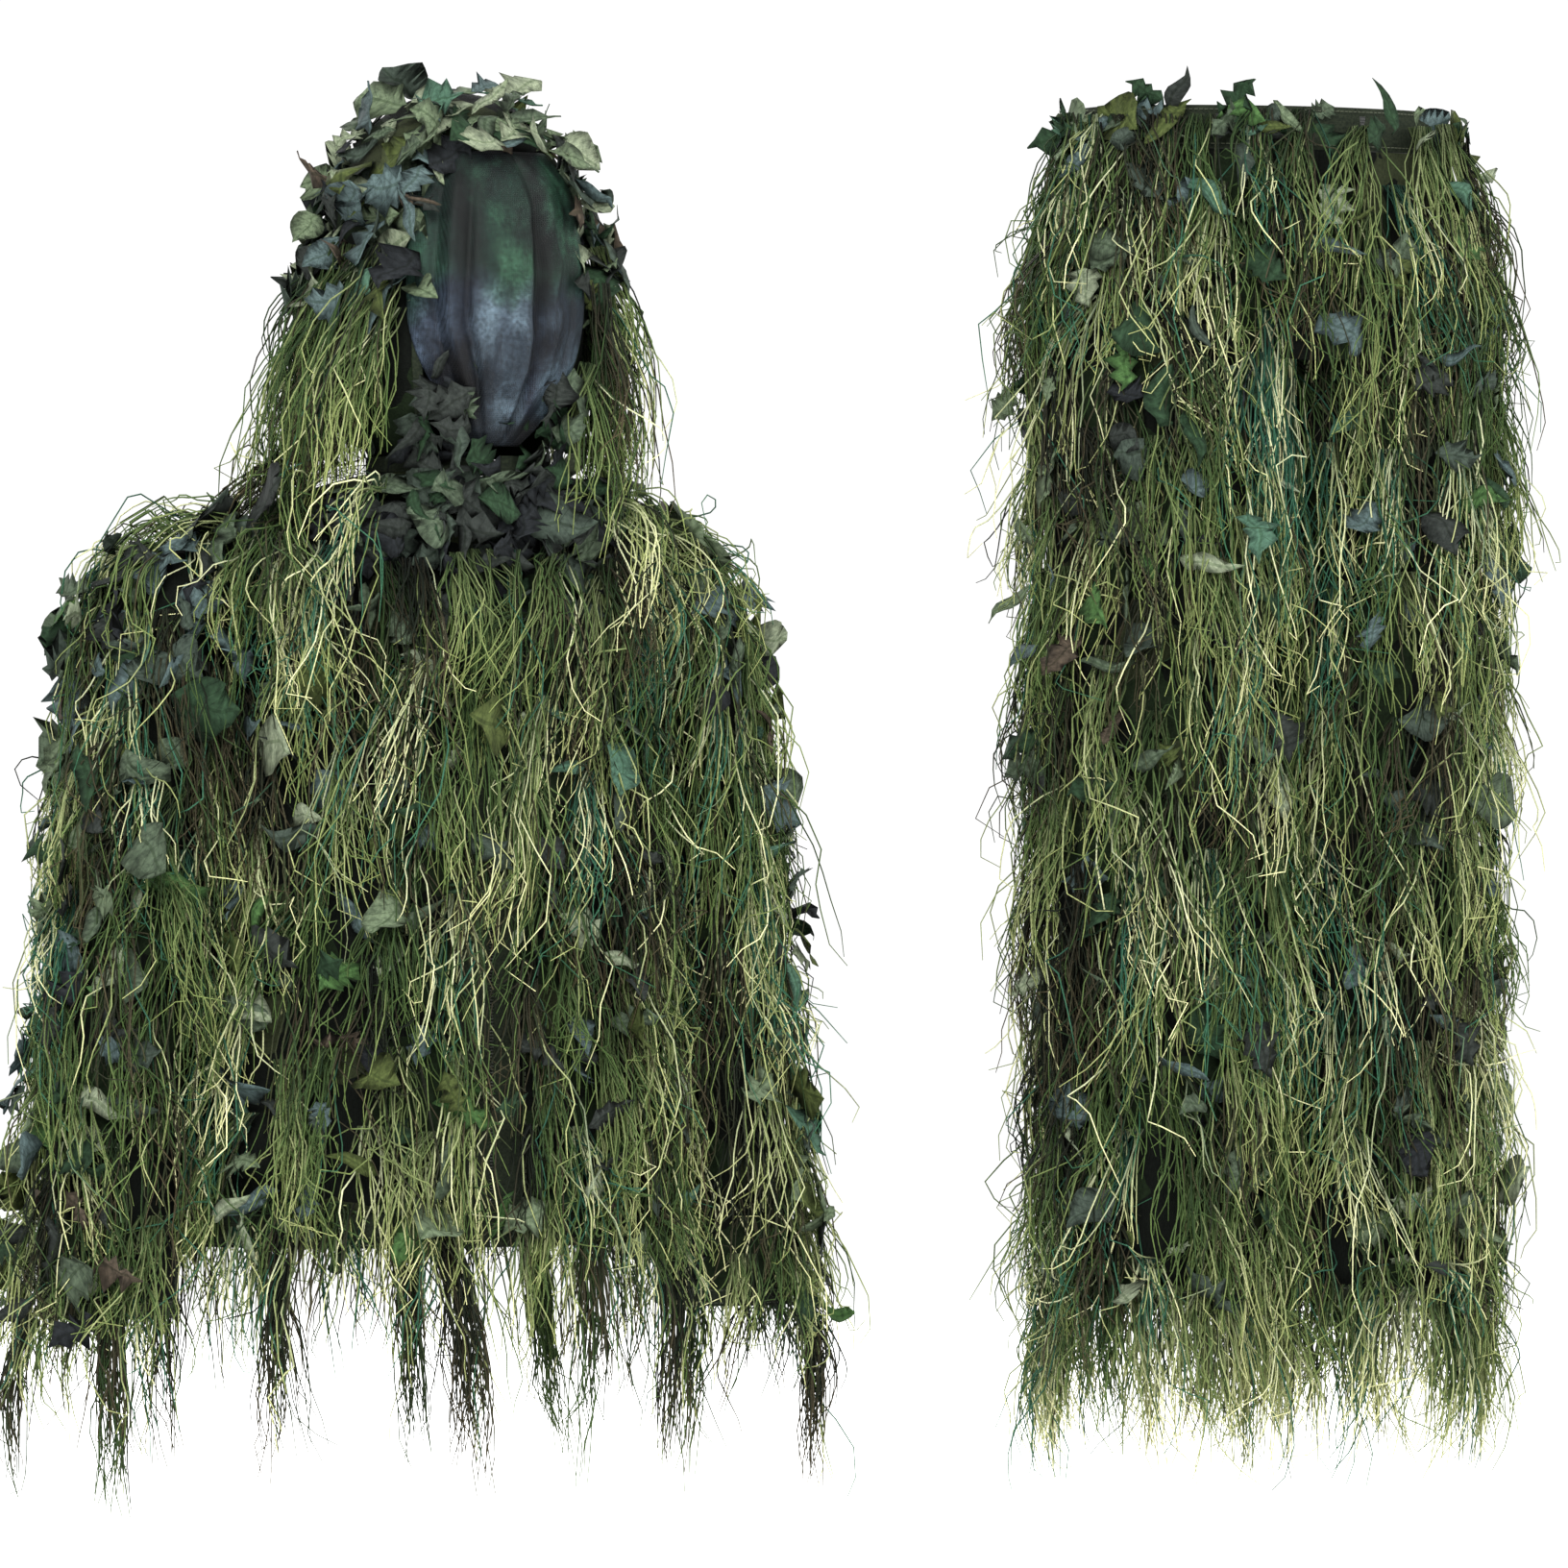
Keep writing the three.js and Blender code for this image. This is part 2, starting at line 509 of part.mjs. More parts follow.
const jacket = new THREE.Group();
jacket.add(...jacketBody(), neckBand(), hangLoop(), ...zipHardware(), ...hood());
jacket.add(...sleeve("left", 1), ...sleeve("right", -1));

const trousers = new THREE.Group();
trousers.add(...trouserHip(), ...trouserLeg("left", 1), ...trouserLeg("right", -1));
trousers.position.x = GARMENT_SPACING;

const suit = new THREE.Group();
suit.add(jacket, trousers);
suit.position.set(0, LOOP_DEPTH / 2 - LOOP_BACK_Y, -LOOP_BAR_Z);

export default suit;
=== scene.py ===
"""A ghillie suit: a hooded jacket with a face veil, and trousers, hung with yarn and cloth leaves."""
import json
import math
import random

import bpy
import numpy as np
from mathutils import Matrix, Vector, noise

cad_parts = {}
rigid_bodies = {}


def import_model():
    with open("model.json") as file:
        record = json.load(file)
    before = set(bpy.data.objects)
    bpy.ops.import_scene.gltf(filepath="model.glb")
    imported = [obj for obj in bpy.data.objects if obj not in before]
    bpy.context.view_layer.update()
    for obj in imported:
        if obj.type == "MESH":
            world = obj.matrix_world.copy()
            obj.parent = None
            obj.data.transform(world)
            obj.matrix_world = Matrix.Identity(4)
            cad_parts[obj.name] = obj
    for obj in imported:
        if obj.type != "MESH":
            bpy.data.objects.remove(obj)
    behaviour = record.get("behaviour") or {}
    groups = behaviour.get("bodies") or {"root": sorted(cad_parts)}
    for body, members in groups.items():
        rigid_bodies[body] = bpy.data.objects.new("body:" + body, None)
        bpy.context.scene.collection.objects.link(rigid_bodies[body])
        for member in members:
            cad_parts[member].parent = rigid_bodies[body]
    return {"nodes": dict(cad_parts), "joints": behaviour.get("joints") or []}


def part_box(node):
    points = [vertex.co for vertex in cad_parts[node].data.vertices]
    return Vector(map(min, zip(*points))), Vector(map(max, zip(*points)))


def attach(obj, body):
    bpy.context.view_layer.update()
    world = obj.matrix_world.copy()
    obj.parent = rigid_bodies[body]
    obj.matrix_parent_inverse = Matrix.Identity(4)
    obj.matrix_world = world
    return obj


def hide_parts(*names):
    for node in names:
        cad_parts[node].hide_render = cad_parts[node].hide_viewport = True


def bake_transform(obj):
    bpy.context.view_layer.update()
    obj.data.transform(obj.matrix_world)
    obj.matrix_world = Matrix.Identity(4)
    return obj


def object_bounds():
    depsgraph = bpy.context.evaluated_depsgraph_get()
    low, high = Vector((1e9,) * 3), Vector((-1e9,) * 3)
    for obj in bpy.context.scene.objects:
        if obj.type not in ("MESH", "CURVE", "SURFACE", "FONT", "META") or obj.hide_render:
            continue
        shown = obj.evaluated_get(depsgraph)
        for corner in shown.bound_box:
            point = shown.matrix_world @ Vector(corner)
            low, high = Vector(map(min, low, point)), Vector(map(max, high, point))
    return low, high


bl_info = {
    "name": "Ghillie Suit",
    "version": (1, 0, 0),
    "blender": (4, 5, 0),
    "location": "View3D > Sidebar > Ghillie",
    "description": "Builds a camouflage suit of mesh, cloth leaves and hanging yarn round its CAD model",
    "category": "Object",
}

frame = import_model()
cad_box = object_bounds()

# yarn and leaves may stand a little proud of the CAD box
PROUD = Vector((0.035, 0.017, 0.036))
ROOM = (cad_box[0] - PROUD, cad_box[1] + PROUD)

UP = Vector((0, 0, 1))
VECTOR = "FLOAT_VECTOR"
BAKE_MAP = "OFBake"

# angles are seen from above, from the wearer's left towards the back
FRONT = 270
# the outer side of each sleeve and leg
OUTER = {"left": 0, "right": 180}
# from the middle of the front to an edge of its opening
OPENING = 7.5
# from the middle of the front to an end of the hood's brow
BROW_HALF = 45
# the hood's left back seam, which its right one mirrors
HOOD_SEAM = 60


# ---------------------------------------------------------------- sizes and colours

class GhillieStageSettings(bpy.types.PropertyGroup):
    """Where the suit is seen from and what it hangs over"""
    turn: bpy.props.FloatProperty(
        name="Turn", description="How far the camera stands to the wearer's right",
        default=math.radians(25), subtype="ANGLE", unit="ROTATION")
    distance: bpy.props.FloatProperty(
        name="Distance", description="From the camera to the suit", default=10, unit="LENGTH")
    view_width: bpy.props.FloatProperty(
        name="View width", description="What the camera takes in at the suit", default=1.436, unit="LENGTH")
    aim_sideways: bpy.props.FloatProperty(
        name="Aim sideways", description="From the middle of the jacket to the middle of the view",
        default=0.360, unit="LENGTH")
    aim_height: bpy.props.FloatProperty(
        name="Aim height", description="Height of the view's middle above the hang loop",
        default=-0.305, unit="LENGTH")
    floor_drop: bpy.props.FloatProperty(
        name="Floor drop", description="From the lowest fringe to the floor", default=0.12, unit="LENGTH")
    floor_size: bpy.props.FloatProperty(
        name="Floor size", description="Width of the floor", default=60, unit="LENGTH")
    floor_colour: bpy.props.FloatVectorProperty(
        name="Floor", description="Colour of the floor", default=(0.97, 0.97, 0.97), subtype="COLOR")
    sky: bpy.props.FloatProperty(
        name="Sky", description="Strength of the even light from all round", default=1.06)
    key_power: bpy.props.FloatProperty(
        name="Key light", description="Power of the large light in front", default=400, unit="POWER")


class GhillieClothSettings(bpy.types.PropertyGroup):
    """The woven cloth under the yarn"""
    thickness: bpy.props.FloatProperty(
        name="Thickness", description="Thickness of the cloth", default=0.0012, unit="LENGTH")
    fold_depth: bpy.props.FloatProperty(
        name="Fold depth", description="How far the cloth folds in and out", default=0.0022, unit="LENGTH")
    grid: bpy.props.FloatProperty(
        name="Grid", description="Distance between the mesh lines of a panel", default=0.011, unit="LENGTH")
    # the print's tones are set very dark: partly the print's own colours, partly painted shade for cloth that
    # lies in shadow under the yarn
    dark: bpy.props.FloatVectorProperty(
        name="Dark", description="Darkest colour of the print",
        default=(0.003, 0.004, 0.003), subtype="COLOR")
    green: bpy.props.FloatVectorProperty(
        name="Green", description="Main green of the print", default=(0.008, 0.014, 0.006), subtype="COLOR")
    light: bpy.props.FloatVectorProperty(
        name="Light", description="Lightest colour of the print",
        default=(0.022, 0.027, 0.013), subtype="COLOR")


class GhillieVeilSettings(bpy.types.PropertyGroup):
    """The sheer face veil"""
    fold_depth: bpy.props.FloatProperty(
        name="Fold depth", description="Depth of the veil's gathers", default=0.007, unit="LENGTH")
    bulge: bpy.props.FloatProperty(
        name="Bulge", description="How far the veil stands out at its middle", default=0.011, unit="LENGTH")
    thread_pitch: bpy.props.FloatProperty(
        name="Thread pitch", description="Distance between the mesh's threads", default=0.0016, unit="LENGTH")
    navy: bpy.props.FloatVectorProperty(
        name="Navy", description="Dark colour of the mesh", default=(0.007, 0.010, 0.014), subtype="COLOR")
    slate: bpy.props.FloatVectorProperty(
        name="Slate", description="Blue grey of the mesh", default=(0.050, 0.072, 0.092), subtype="COLOR")
    green: bpy.props.FloatVectorProperty(
        name="Green", description="Green of the mesh", default=(0.028, 0.082, 0.045), subtype="COLOR")


class GhillieYarnSettings(bpy.types.PropertyGroup):
    """The hanging yarn"""
    strands: bpy.props.IntProperty(
        name="Strands", description="Strands in one bunch", default=33, min=1)
    row_pitch: bpy.props.FloatProperty(
        name="Row pitch", description="Height between two rows of bunches", default=0.060, unit="LENGTH")
    bunch_pitch: bpy.props.FloatProperty(
        name="Bunch pitch", description="Distance between two bunches of a row", default=0.058, unit="LENGTH")
    length: bpy.props.FloatProperty(
        name="Length", description="Length of a long strand", default=0.20, unit="LENGTH")
    thickness: bpy.props.FloatProperty(
        name="Thickness", description="Radius of a strand", default=0.00082, unit="LENGTH")
    fan: bpy.props.FloatProperty(
        name="Fan", description="How far a bunch spreads, as a share of its length", default=0.26)
    curl: bpy.props.FloatProperty(
        name="Curl", description="How far a strand wanders", default=0.080, unit="LENGTH")
    depth: bpy.props.FloatProperty(
        name="Depth", description="How far a bunch stands out", default=0.026, unit="LENGTH")
    clearance: bpy.props.FloatProperty(
        name="Clearance", description="From the cloth to the lowest strands", default=0.0025, unit="LENGTH")
    knot_width: bpy.props.FloatProperty(
        name="Knot width", description="Width of a bunch where it is sewn on", default=0.024, unit="LENGTH")
    seed: bpy.props.IntProperty(name="Seed", description="Seed of the yarn's disorder", default=11)


class GhillieLeafSettings(bpy.types.PropertyGroup):
    """The cut cloth leaves"""
    size: bpy.props.FloatProperty(
        name="Size", description="Length of a middling leaf", default=0.050, unit="LENGTH")
    stand_off: bpy.props.FloatProperty(
        name="Stand-off", description="From the cloth to a leaf", default=0.005, unit="LENGTH")
    crumple: bpy.props.FloatProperty(
        name="Crumple", description="How far a leaf is bent out of flat", default=0.009, unit="LENGTH")
    seed: bpy.props.IntProperty(name="Seed", description="Seed of the leaves' disorder", default=5)


class GhillieZipSettings(bpy.types.PropertyGroup):
    """The front zip and the stitching"""
    tooth_pitch: bpy.props.FloatProperty(
        name="Tooth pitch", description="Distance between two teeth of the zip",
        default=0.0028, unit="LENGTH")
    tooth_width: bpy.props.FloatProperty(
        name="Tooth width", description="Width of a tooth", default=0.0042, unit="LENGTH")
    stitch_pitch: bpy.props.FloatProperty(
        name="Stitch pitch", description="Distance between two stitches", default=0.0048, unit="LENGTH")
    stitch_length: bpy.props.FloatProperty(
        name="Stitch length", description="Length of a stitch", default=0.0034, unit="LENGTH")


SETTINGS = {
    "ghillie_stage": GhillieStageSettings,
    "ghillie_cloth": GhillieClothSettings,
    "ghillie_veil": GhillieVeilSettings,
    "ghillie_yarn": GhillieYarnSettings,
    "ghillie_leaf": GhillieLeafSettings,
    "ghillie_zip": GhillieZipSettings,
}


# ---------------------------------------------------------------- node helpers

class Graph:
    """Lays nodes and links in a node tree. Any value may be a number or another node's socket."""

    def __init__(self, tree):
        self.tree = tree

    def socket(self, sockets, key):
        if isinstance(key, int):
            return sockets[key]
        return next(s for s in sockets if s.name == key and s.enabled)

    def feed(self, socket, value):
        if isinstance(value, bpy.types.NodeSocket):
            self.tree.links.new(value, socket)
        else:
            socket.default_value = value

    def node(self, kind, values=None, **settings):
        node = self.tree.nodes.new(kind)
        for name, value in settings.items():
            setattr(node, name, value)
        for key, value in (values or {}).items():
            self.feed(self.socket(node.inputs, key), value)
        return node

    def first(self, kind, values=None, **settings):
        """The first output of a new node."""
        return self.node(kind, values, **settings).outputs[0]

    def math(self, operation, first, second=0.0, third=0.0):
        return self.first("ShaderNodeMath", {0: first, 1: second, 2: third}, operation=operation)

    def plus(self, first, second):
        return self.math("ADD", first, second)

    def minus(self, first, second):
        return self.math("SUBTRACT", first, second)

    def times(self, first, second):
        return self.math("MULTIPLY", first, second)

    def power(self, base, exponent):
        return self.math("POWER", base, exponent)

    def times_plus(self, first, second, third):
        return self.math("MULTIPLY_ADD", first, second, third)

    def remap(self, value, low, high, new_low=0.0, new_high=1.0):
        return self.first("ShaderNodeMapRange", {
            "Value": value, "From Min": low, "From Max": high, "To Min": new_low, "To Max": new_high})

    def noise(self, place, scale, detail, **more):
        """The outputs of a noise texture."""
        values = {"Vector": place, "Scale": scale, "Detail": detail, **more}
        return self.node("ShaderNodeTexNoise", values).outputs

    def vector(self, operation, first, second=(0, 0, 0)):
        node = self.node("ShaderNodeVectorMath", {0: first}, operation=operation)
        self.feed(node.inputs["Scale" if operation == "SCALE" else 1], second)
        return node.outputs["Value" if operation == "DOT_PRODUCT" else "Vector"]

    def within(self, place, low, high):
        return self.vector("MINIMUM", self.vector("MAXIMUM", place, low), high)

    def parts(self, vector):
        """A vector's x, y and z."""
        return self.node("ShaderNodeSeparateXYZ", {0: vector}).outputs

    def join(self, x=0.0, y=0.0, z=0.0):
        """A vector of x, y and z."""
        return self.first("ShaderNodeCombineXYZ", {0: x, 1: y, 2: z})

    def attribute(self, name, kind="FLOAT"):
        return self.first("GeometryNodeInputNamedAttribute", {"Name": name}, data_type=kind)

    def store(self, geometry, name, value, kind="FLOAT", domain="POINT"):
        return self.first("GeometryNodeStoreNamedAttribute", {
            "Geometry": geometry, "Name": name, "Value": value}, data_type=kind, domain=domain)

    def forget(self, geometry, names):
        """Removes attributes that only the tree itself needs."""
        for name in names:
            geometry = self.first("GeometryNodeRemoveAttribute", {"Geometry": geometry, "Name": name})
        return geometry


def geometry_tree(name, sockets):
    """An empty Geometry Nodes tree with named inputs, and its Graph, given sockets and result socket."""
    tree = bpy.data.node_groups.new(name, "GeometryNodeTree")
    tree.interface.new_socket("Geometry", in_out="INPUT", socket_type="NodeSocketGeometry")
    for label, (kind, value) in sockets.items():
        socket = tree.interface.new_socket(label, in_out="INPUT", socket_type="NodeSocket" + kind)
        if value is not None:
            socket.default_value = value
    tree.interface.new_socket("Geometry", in_out="OUTPUT", socket_type="NodeSocketGeometry")
    graph = Graph(tree)
    given = graph.node("NodeGroupInput").outputs
    result = graph.node("NodeGroupOutput").inputs["Geometry"]
    return tree, graph, given, result


def close_tree(graph, geometry, material, result):
    """Ends a tree in Realize Instances and Set Material."""
    real = graph.first("GeometryNodeRealizeInstances", {"Geometry": geometry})
    graph.feed(result, graph.first("GeometryNodeSetMaterial", {"Geometry": real, "Material": material}))


def run_tree(name, carrier_mesh, tree, values):
    """Runs a tree on a carrier mesh and returns its result as a plain mesh object."""
    carrier = bpy.data.objects.new(name + "_carrier", carrier_mesh)
    bpy.context.collection.objects.link(carrier)
    modifier = carrier.modifiers.new("Nodes", "NODES")
    modifier.node_group = tree
    for item in tree.interface.items_tree:
        if item.in_out == "INPUT" and item.name in values:
            modifier[item.identifier] = values[item.name]
    mesh = plain_mesh(carrier, name)
    bpy.data.objects.remove(carrier)
    if not mesh.polygons:
        raise RuntimeError(f"{name} came out empty")
    return add_piece(name, mesh)


def plain_mesh(source, name):
    """The mesh of an object with its modifiers applied."""
    graph = bpy.context.evaluated_depsgraph_get()
    mesh = bpy.data.meshes.new_from_object(
        source.evaluated_get(graph), preserve_all_data_layers=True, depsgraph=graph)
    mesh.name = name
    return mesh


def add_piece(name, mesh):
    piece = bpy.data.objects.new(name, mesh)
    bpy.context.collection.objects.link(piece)
    return piece


# ---------------------------------------------------------------- shells read from the frame

def smooth_line(stations, values):
    """A smooth curve through values at rising stations that never swings past them."""
    steps = np.diff(stations)
    slopes = np.diff(values) / steps
    tangents = np.zeros(len(values))
    tangents[0], tangents[-1] = slopes[0], slopes[-1]
    for i in range(1, len(slopes)):
        before, after = slopes[i - 1], slopes[i]
        if before * after > 0:
            tangents[i] = 2 * before * after / (before + after)

    def at(place):
        place = min(max(place, stations[0]), stations[-1])
        i = min(int(np.searchsorted(stations, place, side="right")) - 1, len(steps) - 1)
        i = max(i, 0)
        t = (place - stations[i]) / steps[i]
        rise = values[i + 1] - values[i]
        start, end = tangents[i] * steps[i], tangents[i + 1] * steps[i]
        return (values[i] + t * start + t * t * (3 * rise - 2 * start - end)
                + t ** 3 * (start + end - 2 * rise))
    return at


class Shell:
    """An upright tube of cloth with oval sections, read from the CAD panels that make it.

    Where the front is open, below open_below if that is given, the panels reach only front_share of
    the way from the tube's axis to its front."""
    RING_POINTS = 20
    LEVEL_GAP = 0.0015

    def __init__(self, nodes, front_share=1.0, open_below=None):
        places = {tuple(round(c, 4) for c in frame["nodes"][n].matrix_world @ v.co)
                  for n in nodes for v in frame["nodes"][n].data.vertices}
        levels = {}
        for x, y, z in places:
            levels.setdefault(z, []).append((x, y))
        heights, rows = [], []
        for z in sorted(levels):
            ring = np.array(levels[z])
            if len(ring) < self.RING_POINTS or (heights and z - heights[-1] < self.LEVEL_GAP):
                continue
            share = front_share if open_below is None or z < open_below else 1.0
            (x_low, y_low), (x_high, y_high) = ring.min(axis=0), ring.max(axis=0)
            half_depth = (y_high - y_low) / (1 + share)
            heights.append(z)
            rows.append(((x_low + x_high) / 2, (x_high - x_low) / 2, y_high - half_depth, half_depth))
        self.low, self.high = heights[0], heights[-1]
        self.lines = [smooth_line(heights, column) for column in np.array(rows).T]

    def section(self, z):
        return [line(z) for line in self.lines]

    def point(self, degrees, z, out=0.0):
        x, half_width, y, half_depth = self.section(z)
        turn = math.radians(degrees)
        return Vector((x + (half_width + out) * math.cos(turn), y + (half_depth + out) * math.sin(turn), z))

    def normal(self, degrees, z):
        step = 0.004
        around = self.point(degrees + 1, z) - self.point(degrees - 1, z)
        upward = self.point(degrees, min(z + step, self.high)) - self.point(degrees, z - step)
        return around.cross(upward).normalized()

    def arc(self, first, last, z, parts=12):
        stops = [self.point(first + (last - first) * i / parts, z) for i in range(parts + 1)]
        return sum((b - a).length for a, b in zip(stops, stops[1:]))


def span(node):
    """(lowest, highest) height of a CAD node."""
    low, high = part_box(node)
    return low[2], high[2]


BROW_Z = span("hood_brow")[0]
BODY = Shell(["back_panel", "front_panel_left", "front_panel_right", "hem_band"],
             math.sin(math.radians(90 - OPENING)))
HOOD = Shell(["hood_left", "hood_right", "hood_back", "hood_brow"],
             math.sin(math.radians(90 - BROW_HALF)), BROW_Z)
HIP = Shell(["hip_front_left", "hip_front_right", "hip_back", "waistband"])
SLEEVES = {side: Shell([f"sleeve_{side}", f"cuff_{side}"]) for side in OUTER}
LEGS = {side: Shell([f"leg_{side}", f"ankle_cuff_{side}"]) for side in OUTER}
SHOULDER_Z = span("sleeve_left")[1]
HIP_PIVOT_Z = next(joint["pos_m"][2] for joint in frame["joints"] if joint["name"] == "leg_left_swing")
# the hip panels end in an arc round the pivot, and the legs' cloth reaches up to it
HIP_ARC_RADIUS = 0.142
# below this height the hip's cloth lies behind the legs'
HIP_OVERLAP_Z = HIP_PIVOT_Z + 0.09


# ---------------------------------------------------------------- materials

# distances between the threads, ribs and crimps of the woven goods
CLOTH_THREADS = 0.0009
TAPE_THREADS = 0.0007
TAPE_RIBS = 0.0011
ELASTIC_RIBS = 0.0024
ELASTIC_CRIMPS = 0.0016


def paint(name, build):
    """A material with its Principled shader, filled in by build(graph, shader)."""
    material = bpy.data.materials.get(name)
    if material is None:
        material = bpy.data.materials.new(name)
        material.use_nodes = True
        build(Graph(material.node_tree), material.node_tree.nodes["Principled BSDF"])
    return material


def surface(graph, shader, colour, roughness, shine=0.5):
    """Sets a shader's colour, roughness and shine, each a value or a socket."""
    graph.feed(shader.inputs["Base Color"], colour)
    graph.feed(shader.inputs["Roughness"], roughness)
    graph.feed(shader.inputs["Specular IOR Level"], shine)


def bump(graph, shader, height, distance, strength=1.0):
    node = graph.node("ShaderNodeBump", {"Height": height, "Distance": distance, "Strength": strength})
    graph.feed(shader.inputs["Normal"], node.outputs["Normal"])


def ramp(graph, factor, stops, mode="LINEAR"):
    """A colour ramp through (place, colour) stops."""
    node = graph.node("ShaderNodeValToRGB", {"Fac": factor})
    node.color_ramp.interpolation = mode
    elements = node.color_ramp.elements
    while len(elements) < len(stops):
        elements.new(0.5)
    for element, (place, colour) in zip(elements, stops):
        element.position = place
        element.color = (*colour, 1)
    return node.outputs["Color"]


def lighten(graph, colour, *masks):
    """Multiplies a colour by one mask after another."""
    for mask in masks:
        node = graph.node("ShaderNodeMix", data_type="RGBA", blend_type="MULTIPLY")
        graph.feed(node.inputs[0], 1.0)
        graph.feed(node.inputs[6], colour)
        graph.feed(node.inputs[7], mask)
        colour = node.outputs[2]
    return colour


def object_place(graph):
    return graph.node("ShaderNodeTexCoord").outputs["Object"]


def waves(graph, value, pitch):
    """A sine that repeats at a pitch."""
    return graph.math("SINE", graph.times(value, math.tau / pitch))


def weave_group():
    """Over-and-under threads at a pitch, with flecks of lint."""
    tree = bpy.data.node_groups.get("Weave")
    if tree:
        return tree
    tree = bpy.data.node_groups.new("Weave", "ShaderNodeTree")
    tree.interface.new_socket("Vector", in_out="INPUT", socket_type="NodeSocketVector")
    pitch = tree.interface.new_socket("Pitch", in_out="INPUT", socket_type="NodeSocketFloat")
    pitch.default_value = 0.001
    for label in ("Height", "Lint"):
        tree.interface.new_socket(label, in_out="OUTPUT", socket_type="NodeSocketFloat")
    graph = Graph(tree)
    given = graph.node("NodeGroupInput").outputs
    result = graph.node("NodeGroupOutput").inputs
    scaled = graph.vector("SCALE", given["Vector"], graph.math("DIVIDE", math.pi, given["Pitch"]))
    parts = graph.parts(scaled)
    across = graph.math("SINE", graph.plus(parts[0], parts[1]))
    along = graph.math("SINE", parts[2])
    graph.feed(result["Height"], graph.plus(graph.math("ABSOLUTE", across), graph.math("ABSOLUTE", along)))
    graph.feed(result["Lint"], graph.noise(given["Vector"], 420.0, 3.0)["Fac"])
    return tree


def weave(graph, place, pitch):
    """The outputs of the weave group."""
    node = graph.node("ShaderNodeGroup", node_tree=weave_group())
    graph.feed(node.inputs["Vector"], place)
    graph.feed(node.inputs["Pitch"], pitch)
    return node.outputs


def cloth_material():
    """Blots of three tones printed on a worn weave; the tones are darkened with painted shade, for cloth that
    lies in shadow under the yarn.
    """
    settings = bpy.context.scene.ghillie_cloth

    def build(graph, shader):
        place = object_place(graph)
        warp = graph.noise(place, 16.0, 3.0)
        warped = graph.vector("ADD", place, graph.vector("SCALE", warp["Color"], 0.05))
        blots = graph.node("ShaderNodeTexVoronoi", {"Vector": warped, "Scale": 21.0})
        dark, green, light = settings.dark, settings.green, settings.light
        # the print's colours here include painted shade for the shadow under the yarn
        printed = ramp(graph, blots.outputs["Color"],
                       [(0.0, dark), (0.4, green), (0.62, dark), (0.8, light)], "CONSTANT")
        threads = weave(graph, place, CLOTH_THREADS)
        worn = ramp(graph, threads["Lint"], [(0.3, (0.62, 0.62, 0.62)), (0.75, (1.25, 1.25, 1.2))])
        surface(graph, shader, lighten(graph, printed, worn), 0.9, 0.08)
        bump(graph, shader, threads["Height"], 0.0003, 0.7)
    return paint("camouflage_cloth", build)


def tape_material():
    """Dark ribbed tape."""
    def build(graph, shader):
        place = object_place(graph)
        rib = waves(graph, graph.parts(place)[2], TAPE_RIBS)
        threads = weave(graph, place, TAPE_THREADS)
        tone = ramp(graph, threads["Lint"], [(0.25, (0.006, 0.009, 0.006)), (0.8, (0.022, 0.028, 0.016))])
        surface(graph, shader, tone, 0.85, 0.1)
        bump(graph, shader, graph.plus(rib, threads["Height"]), 0.0002, 0.7)
    return paint("woven_tape", build)


def elastic_material():
    """Black elastic with ribs along it and a crimp across, darker in its grooves and lighter on its ribs:
    painted shade and painted highlight.
    """
    def build(graph, shader):
        parts = graph.parts(object_place(graph))
        rib = waves(graph, parts[2], ELASTIC_RIBS)
        crimp = waves(graph, graph.plus(parts[0], parts[1]), ELASTIC_CRIMPS)
        height = graph.plus(rib, graph.times(crimp, 0.4))
        # the colour follows the bump's height: painted shade in the grooves, painted highlight on the ribs
        tone = ramp(graph, height, [(0.0, (0.008, 0.009, 0.008)), (1.0, (0.035, 0.037, 0.033))])
        surface(graph, shader, tone, 0.7)
        bump(graph, shader, height, 0.0004, 0.8)
    return paint("ribbed_elastic", build)


def zip_material():
    """Blackened metal, scuffed."""
    def build(graph, shader):
        scuff = graph.noise(object_place(graph), 900.0, 4.0)["Fac"]
        tone = ramp(graph, scuff, [(0.35, (0.012, 0.014, 0.011)), (0.8, (0.09, 0.095, 0.08))])
        surface(graph, shader, tone, graph.remap(scuff, 0.0, 1.0, 0.28, 0.6))
        shader.inputs["Metallic"].default_value = 0.85
        bump(graph, shader, scuff, 0.00008, 0.5)
    return paint("blackened_zip", build)


def thread_material():
    """Twisted olive thread."""
    def build(graph, shader):
        twist = graph.node("ShaderNodeTexWave", {
            "Vector": object_place(graph), "Scale": 900.0, "Distortion": 2.0})
        tone = ramp(graph, twist.outputs["Fac"], [(0.0, (0.02, 0.026, 0.014)), (1.0, (0.07, 0.08, 0.045))])
        surface(graph, shader, tone, 0.7)
    return paint("sewing_thread", build)


# how light the veil is across its width: dark where it folds away from the light
VEIL_BANDS = [
    (0.0, (0.8, 0.8, 0.9)), (0.2, (0.25, 0.25, 0.3)), (0.38, (1.15, 1.15, 1.1)), (0.56, (1.15, 1.15, 1.1)),
    (0.66, (0.25, 0.25, 0.3)), (0.8, (1.2, 1.25, 1.2)), (1.0, (0.7, 0.75, 0.75)),
]
# how far the edges of the bands wander sideways
VEIL_SWAY = 0.03


